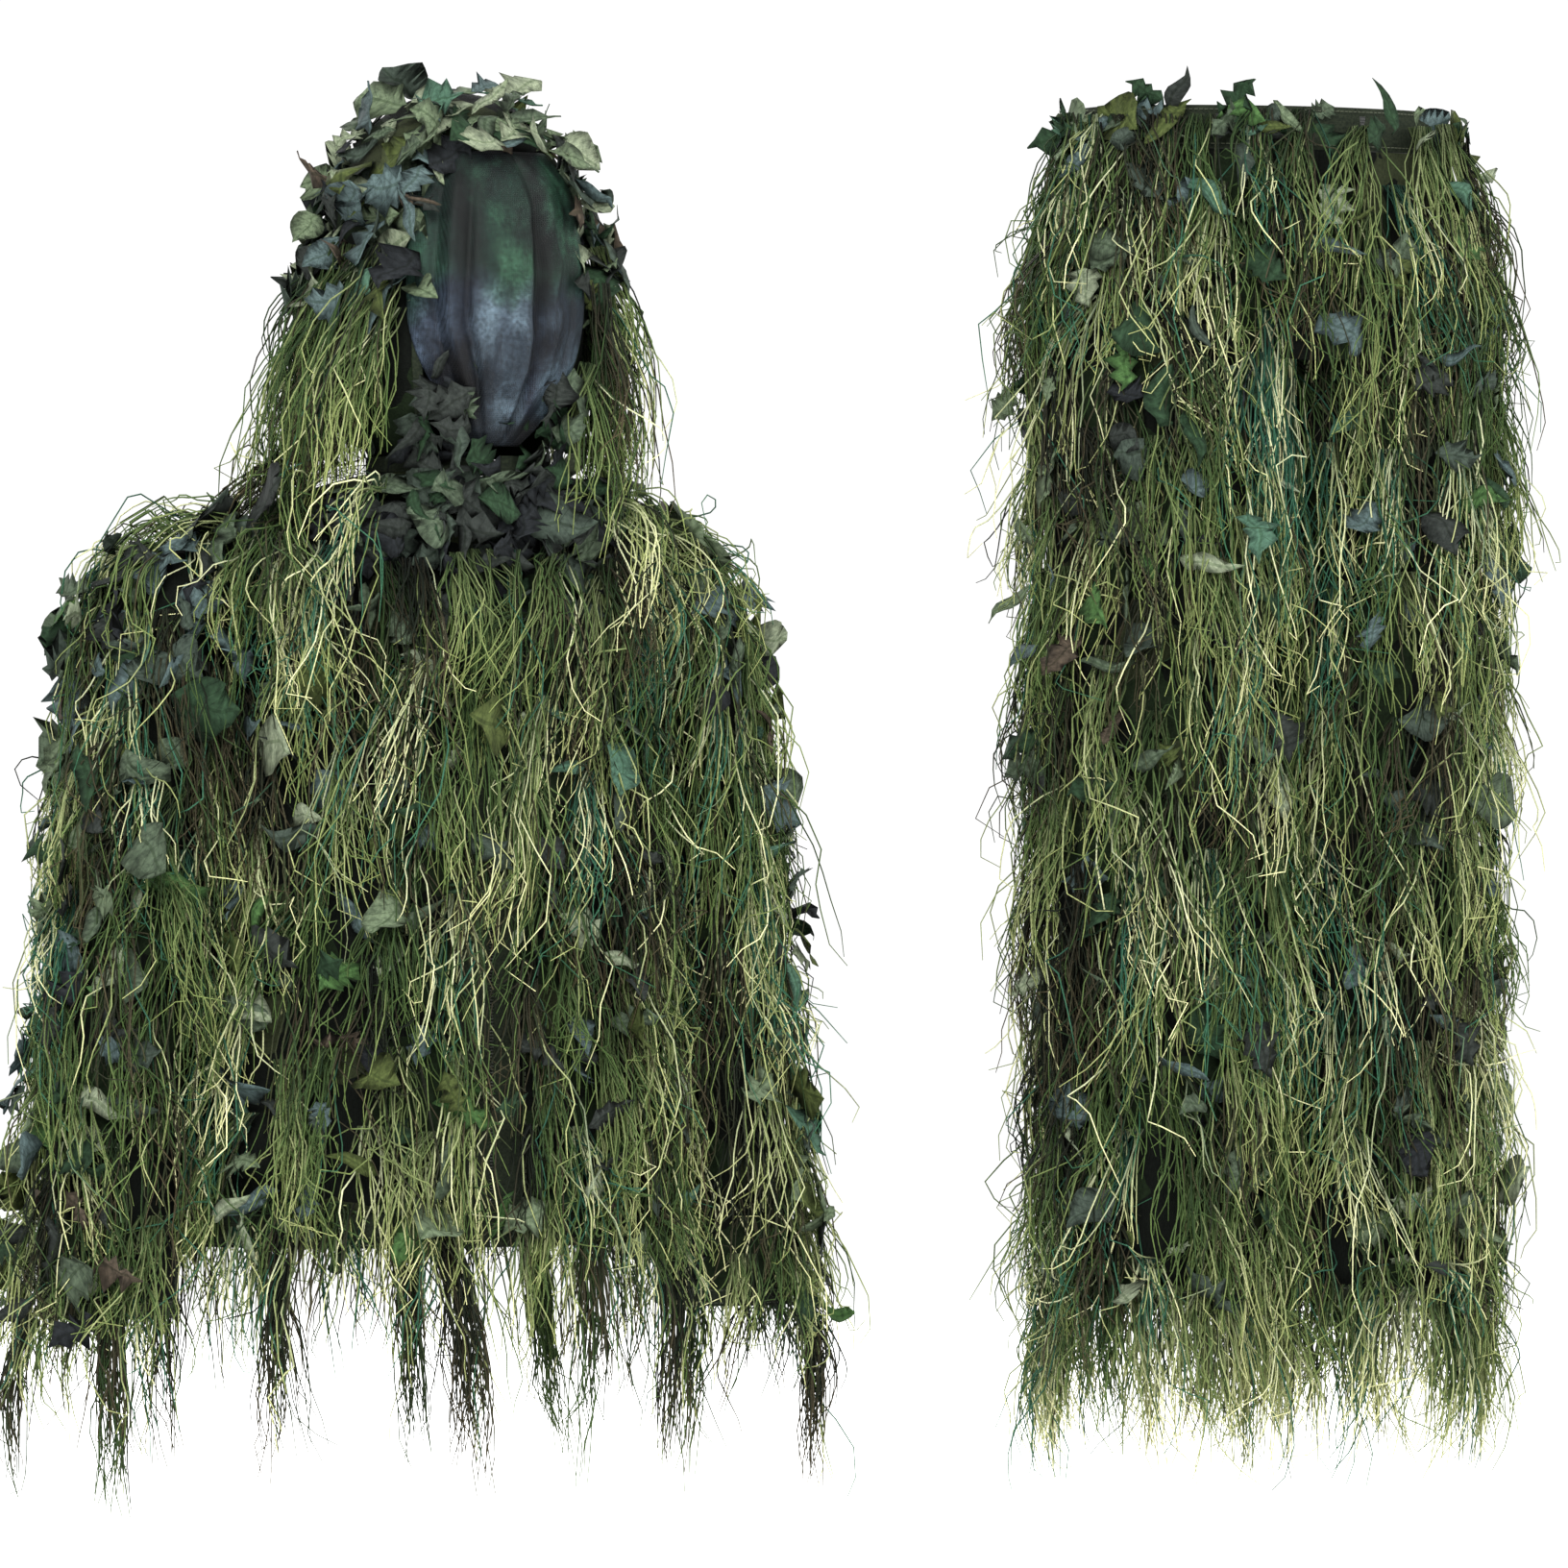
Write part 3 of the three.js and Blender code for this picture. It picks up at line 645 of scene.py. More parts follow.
def veil_colour(graph, place, parts):
    """Navy, slate and green clouds down the veil, with painted shade in its gathers and bands of painted
    shade and highlight across it.
    """
    settings = bpy.context.scene.ghillie_veil
    navy, slate, green = settings.navy, settings.slate, settings.green
    warp = graph.noise(place, 9.0, 4.0)
    warped = graph.vector("ADD", place, graph.vector("SCALE", warp["Color"], 0.07))
    clouds = graph.noise(warped, 11.0, 5.0, Roughness=0.6)["Fac"]
    rise = graph.remap(parts[2], *span("face_veil"))
    drift = graph.times_plus(warp["Fac"], 1.1, -0.55)
    dyed = ramp(graph, graph.plus(rise, drift),
                [(0.05, navy), (0.24, slate), (0.44, slate), (0.62, green), (0.82, green), (1.0, navy)])
    near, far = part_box("face_veil")
    swayed = graph.times_plus(clouds, VEIL_SWAY, parts[0])
    across = graph.remap(swayed, near[0] + VEIL_SWAY / 2, far[0] + VEIL_SWAY / 2)
    bands = ramp(graph, across, VEIL_BANDS, "EASE")
    amount = ramp(graph, clouds, [(0.40, (0.10, 0.12, 0.15)), (0.68, (1.0, 1.0, 1.0))], "EASE")
    # pleat noise darkens the colour in the gathers and lightens it between them: painted shade and painted
    # highlight
    pleats = graph.noise(graph.vector("MULTIPLY", place, (60.0, 60.0, 7.0)), 1.0, 3.0)
    gathers = ramp(graph, pleats["Fac"], [(0.35, (0.5, 0.5, 0.55)), (0.68, (1.35, 1.35, 1.35))])
    fuzz = graph.noise(place, 260.0, 2.0)
    worn = ramp(graph, fuzz["Fac"], [(0.3, (0.55, 0.55, 0.55)), (0.75, (1.5, 1.5, 1.5))])
    return lighten(graph, dyed, amount, gathers, bands, worn)


def veil_material():
    """Sheer mesh, see-through between its threads."""
    def build(graph, shader):
        place = object_place(graph)
        parts = graph.parts(place)
        surface(graph, shader, veil_colour(graph, place, parts), 0.7, 0.2)
        turn = math.pi / bpy.context.scene.ghillie_veil.thread_pitch
        weft = graph.math("ABSOLUTE", graph.math("SINE", graph.times(parts[0], turn)))
        warp = graph.math("ABSOLUTE", graph.math("SINE", graph.times(parts[2], turn)))
        hole = graph.math("MINIMUM", weft, warp)
        graph.feed(shader.inputs["Alpha"], graph.remap(hole, 0.72, 0.86, 1.0, 0.45))
        bump(graph, shader, graph.times(hole, -1.0), 0.0002, 0.5)
    return paint("veil_mesh", build)


YARN_TONES = [
    (0.00, (0.004, 0.007, 0.004)), (0.10, (0.012, 0.014, 0.008)), (0.20, (0.036, 0.030, 0.018)),
    (0.30, (0.014, 0.028, 0.011)), (0.42, (0.032, 0.058, 0.018)), (0.54, (0.064, 0.098, 0.034)),
    (0.66, (0.120, 0.150, 0.058)), (0.78, (0.245, 0.270, 0.135)), (0.88, (0.500, 0.510, 0.330)),
    (0.93, (0.016, 0.056, 0.032)), (1.00, (0.024, 0.080, 0.054)),
]
# painted shade and highlight along a strand: darker near its knot, where the bunch shades it, and lighter
# towards its tip
YARN_ROOT_SHADE_TIP_LIGHT = [
    (0.0, (0.22, 0.25, 0.26)), (0.22, (0.62, 0.66, 0.66)), (0.55, (1.0, 1.0, 1.0)), (1.0, (1.45, 1.38, 1.22)),
]


def yarn_material():
    """Yarn whose map gives its tone across and its length along."""
    def build(graph, shader):
        chart = graph.first("ShaderNodeUVMap", uv_map=BAKE_MAP)
        parts = graph.parts(chart)
        streaks = graph.noise(graph.vector("MULTIPLY", chart, (90.0, 4.0, 0.0)), 4.0, 3.0)
        shade = ramp(graph, streaks["Fac"], [(0.3, (0.55, 0.55, 0.5)), (0.72, (1.5, 1.5, 1.4))])
        # painted shade at each strand's root and painted highlight at its tip
        root_shade_tip_light = ramp(graph, parts[1], YARN_ROOT_SHADE_TIP_LIGHT)
        surface(graph, shader, lighten(graph, ramp(graph, parts[0], YARN_TONES), shade, root_shade_tip_light), 0.78, 0.12)
        twist = graph.math("SINE", graph.plus(graph.times(parts[1], 320.0), graph.times(parts[0], 300.0)))
        bump(graph, shader, twist, 0.0002, 0.5)
    return paint("hanging_yarn", build)


LEAF_TONES = [
    (0.018, 0.022, 0.020), (0.050, 0.070, 0.046), (0.085, 0.115, 0.070), (0.052, 0.078, 0.080),
    (0.045, 0.060, 0.018), (0.014, 0.032, 0.016), (0.040, 0.088, 0.028), (0.045, 0.095, 0.066),
    (0.048, 0.038, 0.028), (0.010, 0.012, 0.014), (0.160, 0.190, 0.130), (0.032, 0.045, 0.036),
]


def leaf_material():
    """Cut cloth in one of the leaf tones, with veins and blotches."""
    def build(graph, shader):
        chart = graph.first("ShaderNodeUVMap", uv_map=BAKE_MAP)
        parts = graph.parts(chart)
        count = len(LEAF_TONES)
        tone = ramp(graph, parts[0], [(i / count, c) for i, c in enumerate(LEAF_TONES)], "CONSTANT")
        across = graph.math("FRACT", graph.times(parts[0], float(count)))
        side = graph.math("ABSOLUTE", graph.minus(across, 0.5))
        slanted = graph.times(graph.minus(parts[1], graph.times(side, 0.7)), 24.0)
        vein = graph.math("LESS_THAN", graph.math("ABSOLUTE", graph.math("SINE", slanted)), 0.10)
        line = graph.math("MAXIMUM", graph.math("LESS_THAN", side, 0.022), vein)
        stretched = graph.vector("MULTIPLY", chart, (36.0, 4.0, 0.0))
        mottle = graph.noise(stretched, 3.0, 6.0, Roughness=0.65)["Fac"]
        patch = ramp(graph, mottle, [(0.32, (0.4, 0.42, 0.4)), (0.7, (1.55, 1.5, 1.45))])
        veined = ramp(graph, line, [(0.0, (1.0, 1.0, 1.0)), (1.0, (0.62, 0.66, 0.6))])
        surface(graph, shader, lighten(graph, tone, patch, veined), 0.85, 0.12)
        bump(graph, shader, graph.minus(mottle, graph.times(line, 0.5)), 0.0006, 0.7)
    return paint("cut_leaf_cloth", build)


# ---------------------------------------------------------------- cloth panels

def grid_mesh(name, rows, closed):
    """A mesh through rows of points, lowest row first, facing outwards."""
    columns = len(rows[0])
    faces = []
    for j in range(len(rows) - 1):
        for i in range(columns if closed else columns - 1):
            following = (i + 1) % columns
            faces.append((j * columns + i, j * columns + following,
                          (j + 1) * columns + following, (j + 1) * columns + i))
    mesh = bpy.data.meshes.new(name)
    mesh.from_pydata([p for row in rows for p in row], [], faces)
    mesh.shade_smooth()
    return mesh


def thicken(name, mesh, thickness, material):
    """Gives a sheet its thickness, inwards, and returns it as a finished piece."""
    carrier = add_piece(name + "_sheet", mesh)
    solid = carrier.modifiers.new("Thickness", "SOLIDIFY")
    solid.thickness = thickness
    solid.offset = -1
    done = plain_mesh(carrier, name)
    bpy.data.objects.remove(carrier)
    done.materials.clear()
    done.materials.append(material)
    return add_piece(name, done)


def fold(place, depth):
    """How far a cloth surface folds in and out at a place."""
    broad = noise.noise(Vector((place.x * 9, place.y * 9, place.z * 4)))
    fine = noise.noise(Vector((place.x * 30, place.y * 30, place.z * 17)))
    return depth * (broad + 0.45 * fine)


def panel_rows(shell, first, last, low_at, high_at, depth, grid, tuck):
    """Rows of points over part of a shell; low_at and high_at give its edges at an angle.

    tuck sinks the part that lies behind other cloth."""
    low, high = low_at(first), high_at(first)
    across = max(6, round(shell.arc(first, last, (low + high) / 2) / grid))
    closed = last - first >= 360
    up = max(3, round((high - low) / grid))
    rows = []
    for j in range(up + 1):
        row = []
        for i in range(across if closed else across + 1):
            degrees = first + (last - first) * i / across
            share = math.sin(math.pi / 2 * j / up)
            z = low_at(degrees) + (high_at(degrees) - low_at(degrees)) * share
            flat = shell.point(degrees, z)
            sunk = tuck if j == 0 or z < HIP_OVERLAP_Z else 0.0
            row.append(shell.point(degrees, z, fold(flat, depth) - depth - sunk))
        rows.append(row)
    return rows, closed


def declare_cloth(shell, first, last, low, high):
    """Works out a panel's flat width and length over its own surface, and does nothing more with them."""
    stops = [low + (high - low) * i / 10 for i in range(11)]
    middle = (first + last) / 2
    width = max(shell.arc(first, last, z, 40) for z in stops)
    length = sum((shell.point(middle, b) - shell.point(middle, a)).length for a, b in zip(stops, stops[1:]))


def make_panel(node, shell, first, last, body, material, low_at=None, high_at=None,
               blend=None, tuck=0.0):
    """One cloth panel of a shell, standing for its CAD node."""
    settings = bpy.context.scene.ghillie_cloth
    low, high = span(node)
    rows, closed = panel_rows(shell, first, last, low_at or (lambda degrees: low),
                              high_at or (lambda degrees: high), settings.fold_depth, settings.grid, tuck)
    piece = thicken(node + "_cloth", grid_mesh(node, rows, closed), settings.thickness, material)
    finish_piece(piece, body, [node], blend)
    declare_cloth(shell, first, last, low, high)


def finish_piece(piece, body, nodes=(), blend=None):
    """Joins a piece to its body, or, when a blend is given, only bakes its place into its mesh; hides the CAD
    nodes it stands for.
    """
    if blend:
        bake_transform(piece)
    else:
        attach(piece, body)
    if nodes:
        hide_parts(*nodes)


# the heights from a joint, above and below it, that blend_across passes on
SHOULDER_BEND = (0.03, -0.13)
HIP_BEND = (HIP_ARC_RADIUS, -0.05)
NECK_BEND = (-0.07, 0.03)


def blend_across(body, shell, z, bend):
    """A body and two points above and below a joint at height z, which finish_piece takes as a blend."""
    x, _, y, _ = shell.section(z)
    return (body, (x, y, z + bend[0]), (x, y, z + bend[1]))


def shoulder_blend(side):
    return blend_across("jacket", SLEEVES[side], SHOULDER_Z, SHOULDER_BEND)


def hip_blend(side):
    return blend_across("trousers", LEGS[side], HIP_PIVOT_Z, HIP_BEND)


def neck_blend():
    return blend_across("jacket", HOOD, HOOD.low, NECK_BEND)


# from the arc round the hip's pivot down to the edges of the hips' and the legs' cloth
HIP_CLOTH_BELOW = 0.03
LEG_GAP = 0.001
# how deep the hips' cloth is tucked in behind the legs'
HIP_TUCK = 0.005


def hip_edge(shell, gap):
    """The height where hip and leg cloth meet, at an angle of a shell."""
    def at(degrees):
        y = shell.point(degrees, HIP_PIVOT_Z).y - shell.section(HIP_PIVOT_Z)[2]
        return HIP_PIVOT_Z + math.sqrt(HIP_ARC_RADIUS ** 2 - y ** 2) + gap
    return at


class GHILLIE_OT_jacket_cloth(bpy.types.Operator):
    """Make the jacket's back, fronts, hem, sleeves and cuffs"""
    bl_idname = "ghillie.jacket_cloth"
    bl_label = "Jacket Cloth"

    def execute(self, context):
        cloth, tape = cloth_material(), tape_material()
        make_panel("back_panel", BODY, 0, 180, "jacket", cloth)
        make_panel("front_panel_left", BODY, FRONT + OPENING, 360, "jacket", cloth)
        make_panel("front_panel_right", BODY, 180, FRONT - OPENING, "jacket", cloth)
        make_panel("hem_band", BODY, FRONT + OPENING, FRONT + 360 - OPENING, "jacket", tape)
        for side, shell in SLEEVES.items():
            body, bend = f"sleeve_{side}", shoulder_blend(side)
            make_panel(f"sleeve_{side}", shell, 0, 360, body, cloth, blend=bend)
            make_panel(f"cuff_{side}", shell, 0, 360, body, tape)
        return {"FINISHED"}


class GHILLIE_OT_hood_cloth(bpy.types.Operator):
    """Make the hood's panels"""
    bl_idname = "ghillie.hood_cloth"
    bl_label = "Hood Cloth"

    def execute(self, context):
        cloth = cloth_material()
        seams = (FRONT + BROW_HALF - 360, HOOD_SEAM, 180 - HOOD_SEAM, FRONT - BROW_HALF, FRONT + BROW_HALF)
        for node, first, last in zip(("hood_left", "hood_back", "hood_right", "hood_brow"), seams, seams[1:]):
            make_panel(node, HOOD, first, last, "hood", cloth)
        return {"FINISHED"}


class GHILLIE_OT_trouser_cloth(bpy.types.Operator):
    """Make the trousers' waistband, hip panels, legs and ankle cuffs"""
    bl_idname = "ghillie.trouser_cloth"
    bl_label = "Trouser Cloth"

    def execute(self, context):
        cloth, tape = cloth_material(), tape_material()
        edge = hip_edge(HIP, -HIP_CLOTH_BELOW)
        panels = {"hip_front_left": (270, 360), "hip_front_right": (180, 270), "hip_back": (0, 180)}
        for node, (first, last) in panels.items():
            make_panel(node, HIP, first, last, "trousers", cloth, low_at=edge, tuck=HIP_TUCK)
        make_panel("waistband", HIP, 0, 360, "trousers", tape)
        for side, shell in LEGS.items():
            body, bend = f"leg_{side}", hip_blend(side)
            make_panel(f"leg_{side}", shell, 0, 360, body, cloth,
                       high_at=hip_edge(shell, -LEG_GAP), blend=bend)
            make_panel(f"ankle_cuff_{side}", shell, 0, 360, body, tape)
        return {"FINISHED"}


# where the veil is sewn on, and the steps of its mesh across and up
VEIL_EDGES = (223.5, 316.5)
VEIL_STEPS = (96, 110)
VEIL_THICKNESS = 0.0006
VEIL_STAND_OFF = 0.0035
# where across the veil a crease runs, how wide and how deep it is
VEIL_CREASES = [(0.10, 0.030, -1.5), (0.17, 0.035, 1.1), (0.25, 0.025, -1.2), (0.58, 0.030, -1.9),
                (0.66, 0.050, 1.0), (0.80, 0.030, -0.9)]


def veil_width(rise):
    """The veil's part of its full width at a share of its height: drawn in to the chin and the brow."""
    chin = 0.68 * (1 - min(1, rise / 0.45)) ** 1.7
    brow = 0.3 * max(0, (rise - 0.75) / 0.25) ** 2.2
    return 1 - chin - brow


def veil_folds(share, rise):
    """How the veil folds at shares of its width and height: pleats, creases, wrinkles and ripples."""
    pleat = math.sin(math.tau * (3.2 * share + 0.35 * math.sin(2.6 * rise)))
    sway = 0.05 * math.sin(3 * rise) + 0.02 * math.sin(9 * rise)
    creases = sum(deep * math.exp(-((share - middle - sway) / wide) ** 2)
                  for middle, wide, deep in VEIL_CREASES)
    wrinkle = noise.noise(Vector((share * 7, rise * 9, 3)))
    ripple = noise.noise(Vector((share * 26, rise * 6, 8)))
    return 0.35 * pleat + creases + 0.8 * wrinkle + 0.3 * ripple


class GHILLIE_OT_veil(bpy.types.Operator):
    """Make the sheer face veil with its gathers"""
    bl_idname = "ghillie.veil"
    bl_label = "Face Veil"

    def execute(self, context):
        settings = context.scene.ghillie_veil
        low, high = span("face_veil")
        first, last = VEIL_EDGES
        across, up = VEIL_STEPS
        rows = []
        for j in range(up + 1):
            rise = j / up
            row = []
            for i in range(across + 1):
                share = i / across
                held = math.sin(math.pi * share) * math.sin(math.pi * rise) ** 0.6
                folded = settings.fold_depth * held * veil_folds(share, rise)
                degrees = (first + last) / 2 + (last - first) * (share - 0.5) * veil_width(rise)
                out = VEIL_STAND_OFF + settings.bulge * held + folded
                row.append(HOOD.point(degrees, low + (high - low) * rise, out))
            rows.append(row)
        sheet = grid_mesh("face_veil", rows, False)
        piece = thicken("face_veil_mesh", sheet, VEIL_THICKNESS, veil_material())
        finish_piece(piece, "veil", ["face_veil"])
        declare_cloth(HOOD, first, last, low, high)
        return {"FINISHED"}


# ---------------------------------------------------------------- yarn

# the yarn crosses the zip over a ridge with room for the slider and its pull
ZIP_ROOM = 0.020
ZIP_ROOM_DEGREES = 8
# distances between the guide's mesh lines, up and round
GUIDE_STEP = 0.015
GUIDE_DEGREES = 3.75
# how far the guide goes on below the lowest fringe
GUIDE_TAIL = 0.05
STRAND_POINTS = 10


def guide_rows(shell, first, last, low, high):
    count = max(2, round((high - low) / GUIDE_STEP))
    across = max(3, round((last - first) / GUIDE_DEGREES))
    rows = []
    for j in range(count + 1):
        row = []
        for i in range(across + 1):
            degrees = first + (last - first) * i / across
            ridge = max(0.0, 1 - abs(degrees - FRONT) / ZIP_ROOM_DEGREES) ** 0.5 if shell is BODY else 0.0
            row.append(shell.point(degrees, low + (high - low) * j / count, ZIP_ROOM * ridge))
        rows.append(row)
    return rows


def make_guide(name, parts):
    """One mesh of outer surfaces for the yarn to lie on; each part is (shell, first, last, low, high)."""
    points, faces = [], []
    for part in parts:
        mesh = grid_mesh(name, guide_rows(*part), False)
        start = len(points)
        points += [tuple(v.co) for v in mesh.vertices]
        faces += [tuple(start + v for v in face.vertices) for face in mesh.polygons]
        bpy.data.meshes.remove(mesh)
    joined = bpy.data.meshes.new(name)
    joined.from_pydata(points, [], faces)
    return add_piece(name, joined)


def jacket_guide():
    under_arm = SHOULDER_Z - 0.03
    bottom = span("sleeve_fringe_left")[0] - GUIDE_TAIL
    parts = [(BODY, 0, 360, under_arm, BODY.high), (BODY, 12, 168, bottom, under_arm),
             (BODY, 192, 348, bottom, under_arm), (HOOD, 0, 360, HOOD.low, HOOD.high)]
    parts += [(shell, OUTER[side] - 115, OUTER[side] + 115, bottom, SHOULDER_Z)
              for side, shell in SLEEVES.items()]
    return make_guide("jacket_guide", parts)


def trouser_guide():
    bottom = span("leg_fringe_left")[0] - GUIDE_TAIL
    parts = [(HIP, 0, 360, HIP_OVERLAP_Z, HIP.high)]
    parts += [(shell, OUTER[side] - 160, OUTER[side] + 160, bottom, HIP_PIVOT_Z + 0.08)
              for side, shell in LEGS.items()]
    return make_guide("trouser_guide", parts)


def strand_lines(graph, given):
    """A line of points for each strand, which carries its root and two random vectors, dice and lot."""
    knots = graph.first("GeometryNodeMeshToPoints", {"Mesh": given["Geometry"]})
    amount = graph.times(given["Strands"], graph.attribute("share"))
    strands = graph.first("GeometryNodeDuplicateElements", {
        "Geometry": knots, "Amount": amount}, domain="POINT")
    strands = graph.store(strands, "root", graph.first("GeometryNodeInputPosition"), VECTOR)
    for label, shift in (("dice", 0.0), ("lot", 7.0)):
        seed = graph.plus(given["Seed"], shift)
        draw = graph.first("FunctionNodeRandomValue", {"Seed": seed}, data_type=VECTOR)
        strands = graph.store(strands, label, draw, VECTOR)
    line = graph.first("GeometryNodeCurvePrimitiveLine", {"Start": (0, 0, 0), "End": (0, 0, -1)})
    line = graph.first("GeometryNodeResampleCurve", {"Curve": line, "Count": STRAND_POINTS}, mode="COUNT")
    placed = graph.first("GeometryNodeInstanceOnPoints", {"Points": strands, "Instance": line})
    return graph.first("GeometryNodeRealizeInstances", {"Geometry": placed})


def strand_curl(graph, given, along, hang, lot):
    """How far a strand wanders; the strands of one bunch wander much alike."""
    wander = graph.vector("ADD", graph.vector("SCALE", graph.attribute("dice", VECTOR), 1.5),
                          graph.vector("SCALE", graph.attribute("root", VECTOR), 17.0))
    pace = graph.times_plus(lot[1], 6.0, 8.0)
    wander = graph.vector("ADD", wander, graph.vector("SCALE", hang, pace))
    swirl = graph.vector("SUBTRACT", graph.noise(wander, 1.0, 1.0)["Color"], (0.5, 0.5, 0.5))
    loose = graph.times(given["Curl"], graph.power(along, 0.8))
    loose = graph.times(loose, graph.times_plus(graph.power(lot[2], 2.0), 2.6, 0.8))
    return graph.vector("SCALE", swirl, loose)


def strand_path(graph, given, along, dice, lot):
    """Where a strand's points would hang with no cloth behind them."""
    out = graph.attribute("out", VECTOR)
    down = graph.attribute("down", VECTOR)
    reach = graph.times(graph.attribute("reach"), graph.times_plus(dice[0], 0.55, 0.5))
    side = graph.vector("NORMALIZE", graph.vector("CROSS_PRODUCT", out, down))
    slant = graph.times(graph.times_plus(dice[1], 2.0, -1.0), given["Fan"])
    slant = graph.plus(graph.times(slant, graph.attribute("spread")), graph.attribute("lean"))
    opened = graph.times(reach, graph.power(along, 0.65))
    apart = graph.times(graph.minus(lot[0], 0.5), given["Knot width"])
    sideways = graph.vector("SCALE", side, graph.times_plus(slant, opened, apart))
    arch = graph.times(graph.math("SINE", graph.times(along, 2.6)), dice[2])
    fling = graph.times(along, graph.power(lot[0], 3.0))
    outward = graph.vector("SCALE", out, graph.times(graph.plus(arch, fling), given["Depth"]))
    drop = graph.times(reach, along)
    bent = graph.times(graph.times(drop, along), 0.5)
    plumb = graph.join(z=graph.times(bent, -1.0))
    hang = graph.vector("ADD", graph.vector("SCALE", down, graph.minus(drop, bent)), plumb)
    curl = strand_curl(graph, given, along, hang, lot)
    path = graph.attribute("root", VECTOR)
    for offset in (sideways, outward, hang, curl):
        path = graph.vector("ADD", path, offset)
    return path


def drape(graph, given, path, lot):
    """Pushes a strand's points out of the guide, and keeps them in the room given."""
    cloth = graph.node("GeometryNodeObjectInfo", {"Object": given["Guide"]}).outputs["Geometry"]
    nearest = graph.first("GeometryNodeProximity", {
        0: cloth, "Sample Position": path}, target_element="FACES")
    facing = graph.first("GeometryNodeSampleNearestSurface", {
        "Mesh": cloth, "Value": graph.first("GeometryNodeInputNormal"), "Sample Position": path},
        data_type=VECTOR)
    lift = graph.vector("DOT_PRODUCT", graph.vector("SUBTRACT", path, nearest), facing)
    layer = graph.times_plus(lot[1], graph.times(given["Depth"], 0.55), given["Clearance"])
    push = graph.math("MAXIMUM", graph.minus(layer, lift), 0.0)
    draped = graph.vector("ADD", path, graph.vector("SCALE", facing, push))
    return graph.within(draped, given["Room low"], given["Room high"])


def strand_tubes(graph, given, curves, along):
    """Three-sided tubes round the strands, thinner towards their tips."""
    ring = graph.first("GeometryNodeCurvePrimitiveCircle", {"Resolution": 3, "Radius": given["Thickness"]})
    ring = graph.store(ring, "around", graph.first("GeometryNodeSplineParameter"))
    taper = graph.minus(1.1, graph.times(graph.power(along, 3.0), 0.6))
    tubes = graph.first("GeometryNodeCurveToMesh", {
        "Curve": curves, "Profile Curve": ring, "Scale": taper, "Fill Caps": True})
    return graph.first("GeometryNodeSetShadeSmooth", {"Geometry": tubes})


def strand_chart(graph, dice, lot):
    """A strand's map: its tone across, mostly near its bunch's own, and its length along."""
    own = graph.plus(graph.attribute("tint"), graph.times(graph.minus(dice[0], 0.5), 0.30))
    odd = graph.math("GREATER_THAN", lot[0], 0.86)
    stray = graph.times(graph.minus(lot[2], own), odd)
    tone = graph.first("ShaderNodeClamp", {"Value": graph.plus(own, stray), "Min": 0.005, "Max": 0.97})
    return graph.join(graph.times_plus(graph.attribute("around"), 0.02, tone),
                      graph.times_plus(graph.attribute("along"), 0.98, 0.01))


def yarn_tree():
    """Bunches of strands that fan out from their knots and hang over a guide surface."""
    name = "Hanging yarn"
    if name in bpy.data.node_groups:
        return bpy.data.node_groups[name]
    tree, graph, given, result = geometry_tree(name, {
        "Guide": ("Object", None), "Strands": ("Int", 30), "Thickness": ("Float", 0.001),
        "Fan": ("Float", 0.3), "Curl": ("Float", 0.02), "Depth": ("Float", 0.02),
        "Clearance": ("Float", 0.002), "Knot width": ("Float", 0.03), "Room low": ("Vector", None),
        "Room high": ("Vector", None), "Seed": ("Int", 1), "Material": ("Material", None)})
    curves = strand_lines(graph, given)
    along = graph.first("GeometryNodeSplineParameter")
    curves = graph.store(curves, "along", along)
    dice = graph.parts(graph.attribute("dice", VECTOR))
    lot = graph.parts(graph.attribute("lot", VECTOR))
    draped = drape(graph, given, strand_path(graph, given, along, dice, lot), lot)
    curves = graph.first("GeometryNodeSetPosition", {"Geometry": curves, "Position": draped})
    tubes = strand_tubes(graph, given, curves, along)
    tubes = graph.store(tubes, BAKE_MAP, strand_chart(graph, dice, lot), "FLOAT2", "CORNER")
    tubes = graph.forget(tubes, ("root", "dice", "lot", "out", "down", "reach", "tint", "spread", "lean",
                                 "share", "along", "around"))
    close_tree(graph, tubes, given["Material"], result)
    return tree


def knot_mesh(name, knots):
    """A mesh of loose points that carry each bunch's or leaf's facts."""
    mesh = bpy.data.meshes.new(name)
    mesh.from_pydata([knot["place"] for knot in knots], [], [])
    for label in sorted(knots[0]):
        if label == "place":
            continue
        values = [knot[label] for knot in knots]
        vectors = isinstance(values[0], Vector)
        layer = mesh.attributes.new(label, VECTOR if vectors else "FLOAT", "POINT")
        if vectors:
            layer.data.foreach_set("vector", [c for v in values for c in v])
        else:
            layer.data.foreach_set("value", [float(v) for v in values])
    return mesh


def piece_seed(seed, name):
    """A seed of its own for each piece."""
    return seed + sum(map(ord, name))


# mixes of yarn tones: (share of the bunches, lowest and highest place in YARN_TONES)
OLIVE_MIX = [(0.38, 0.40, 0.70), (0.14, 0.62, 0.86), (0.18, 0.22, 0.40), (0.18, 0.03, 0.24),
             (0.12, 0.90, 0.96)]
DARK_MIX = [(0.5, 0.02, 0.20), (0.3, 0.2, 0.4), (0.2, 0.40, 0.56)]
STRAW_MIX = [(0.4, 0.50, 0.78), (0.35, 0.36, 0.56), (0.25, 0.05, 0.3)]
PALE_MIX = [(0.6, 0.58, 0.88), (0.4, 0.40, 0.60)]


def pick_tint(rng, mix):
    draw = rng.random() * sum(share for share, _, _ in mix)
    for share, low, high in mix:
        draw -= share
        if draw <= 0:
            break
    return rng.uniform(low, high)


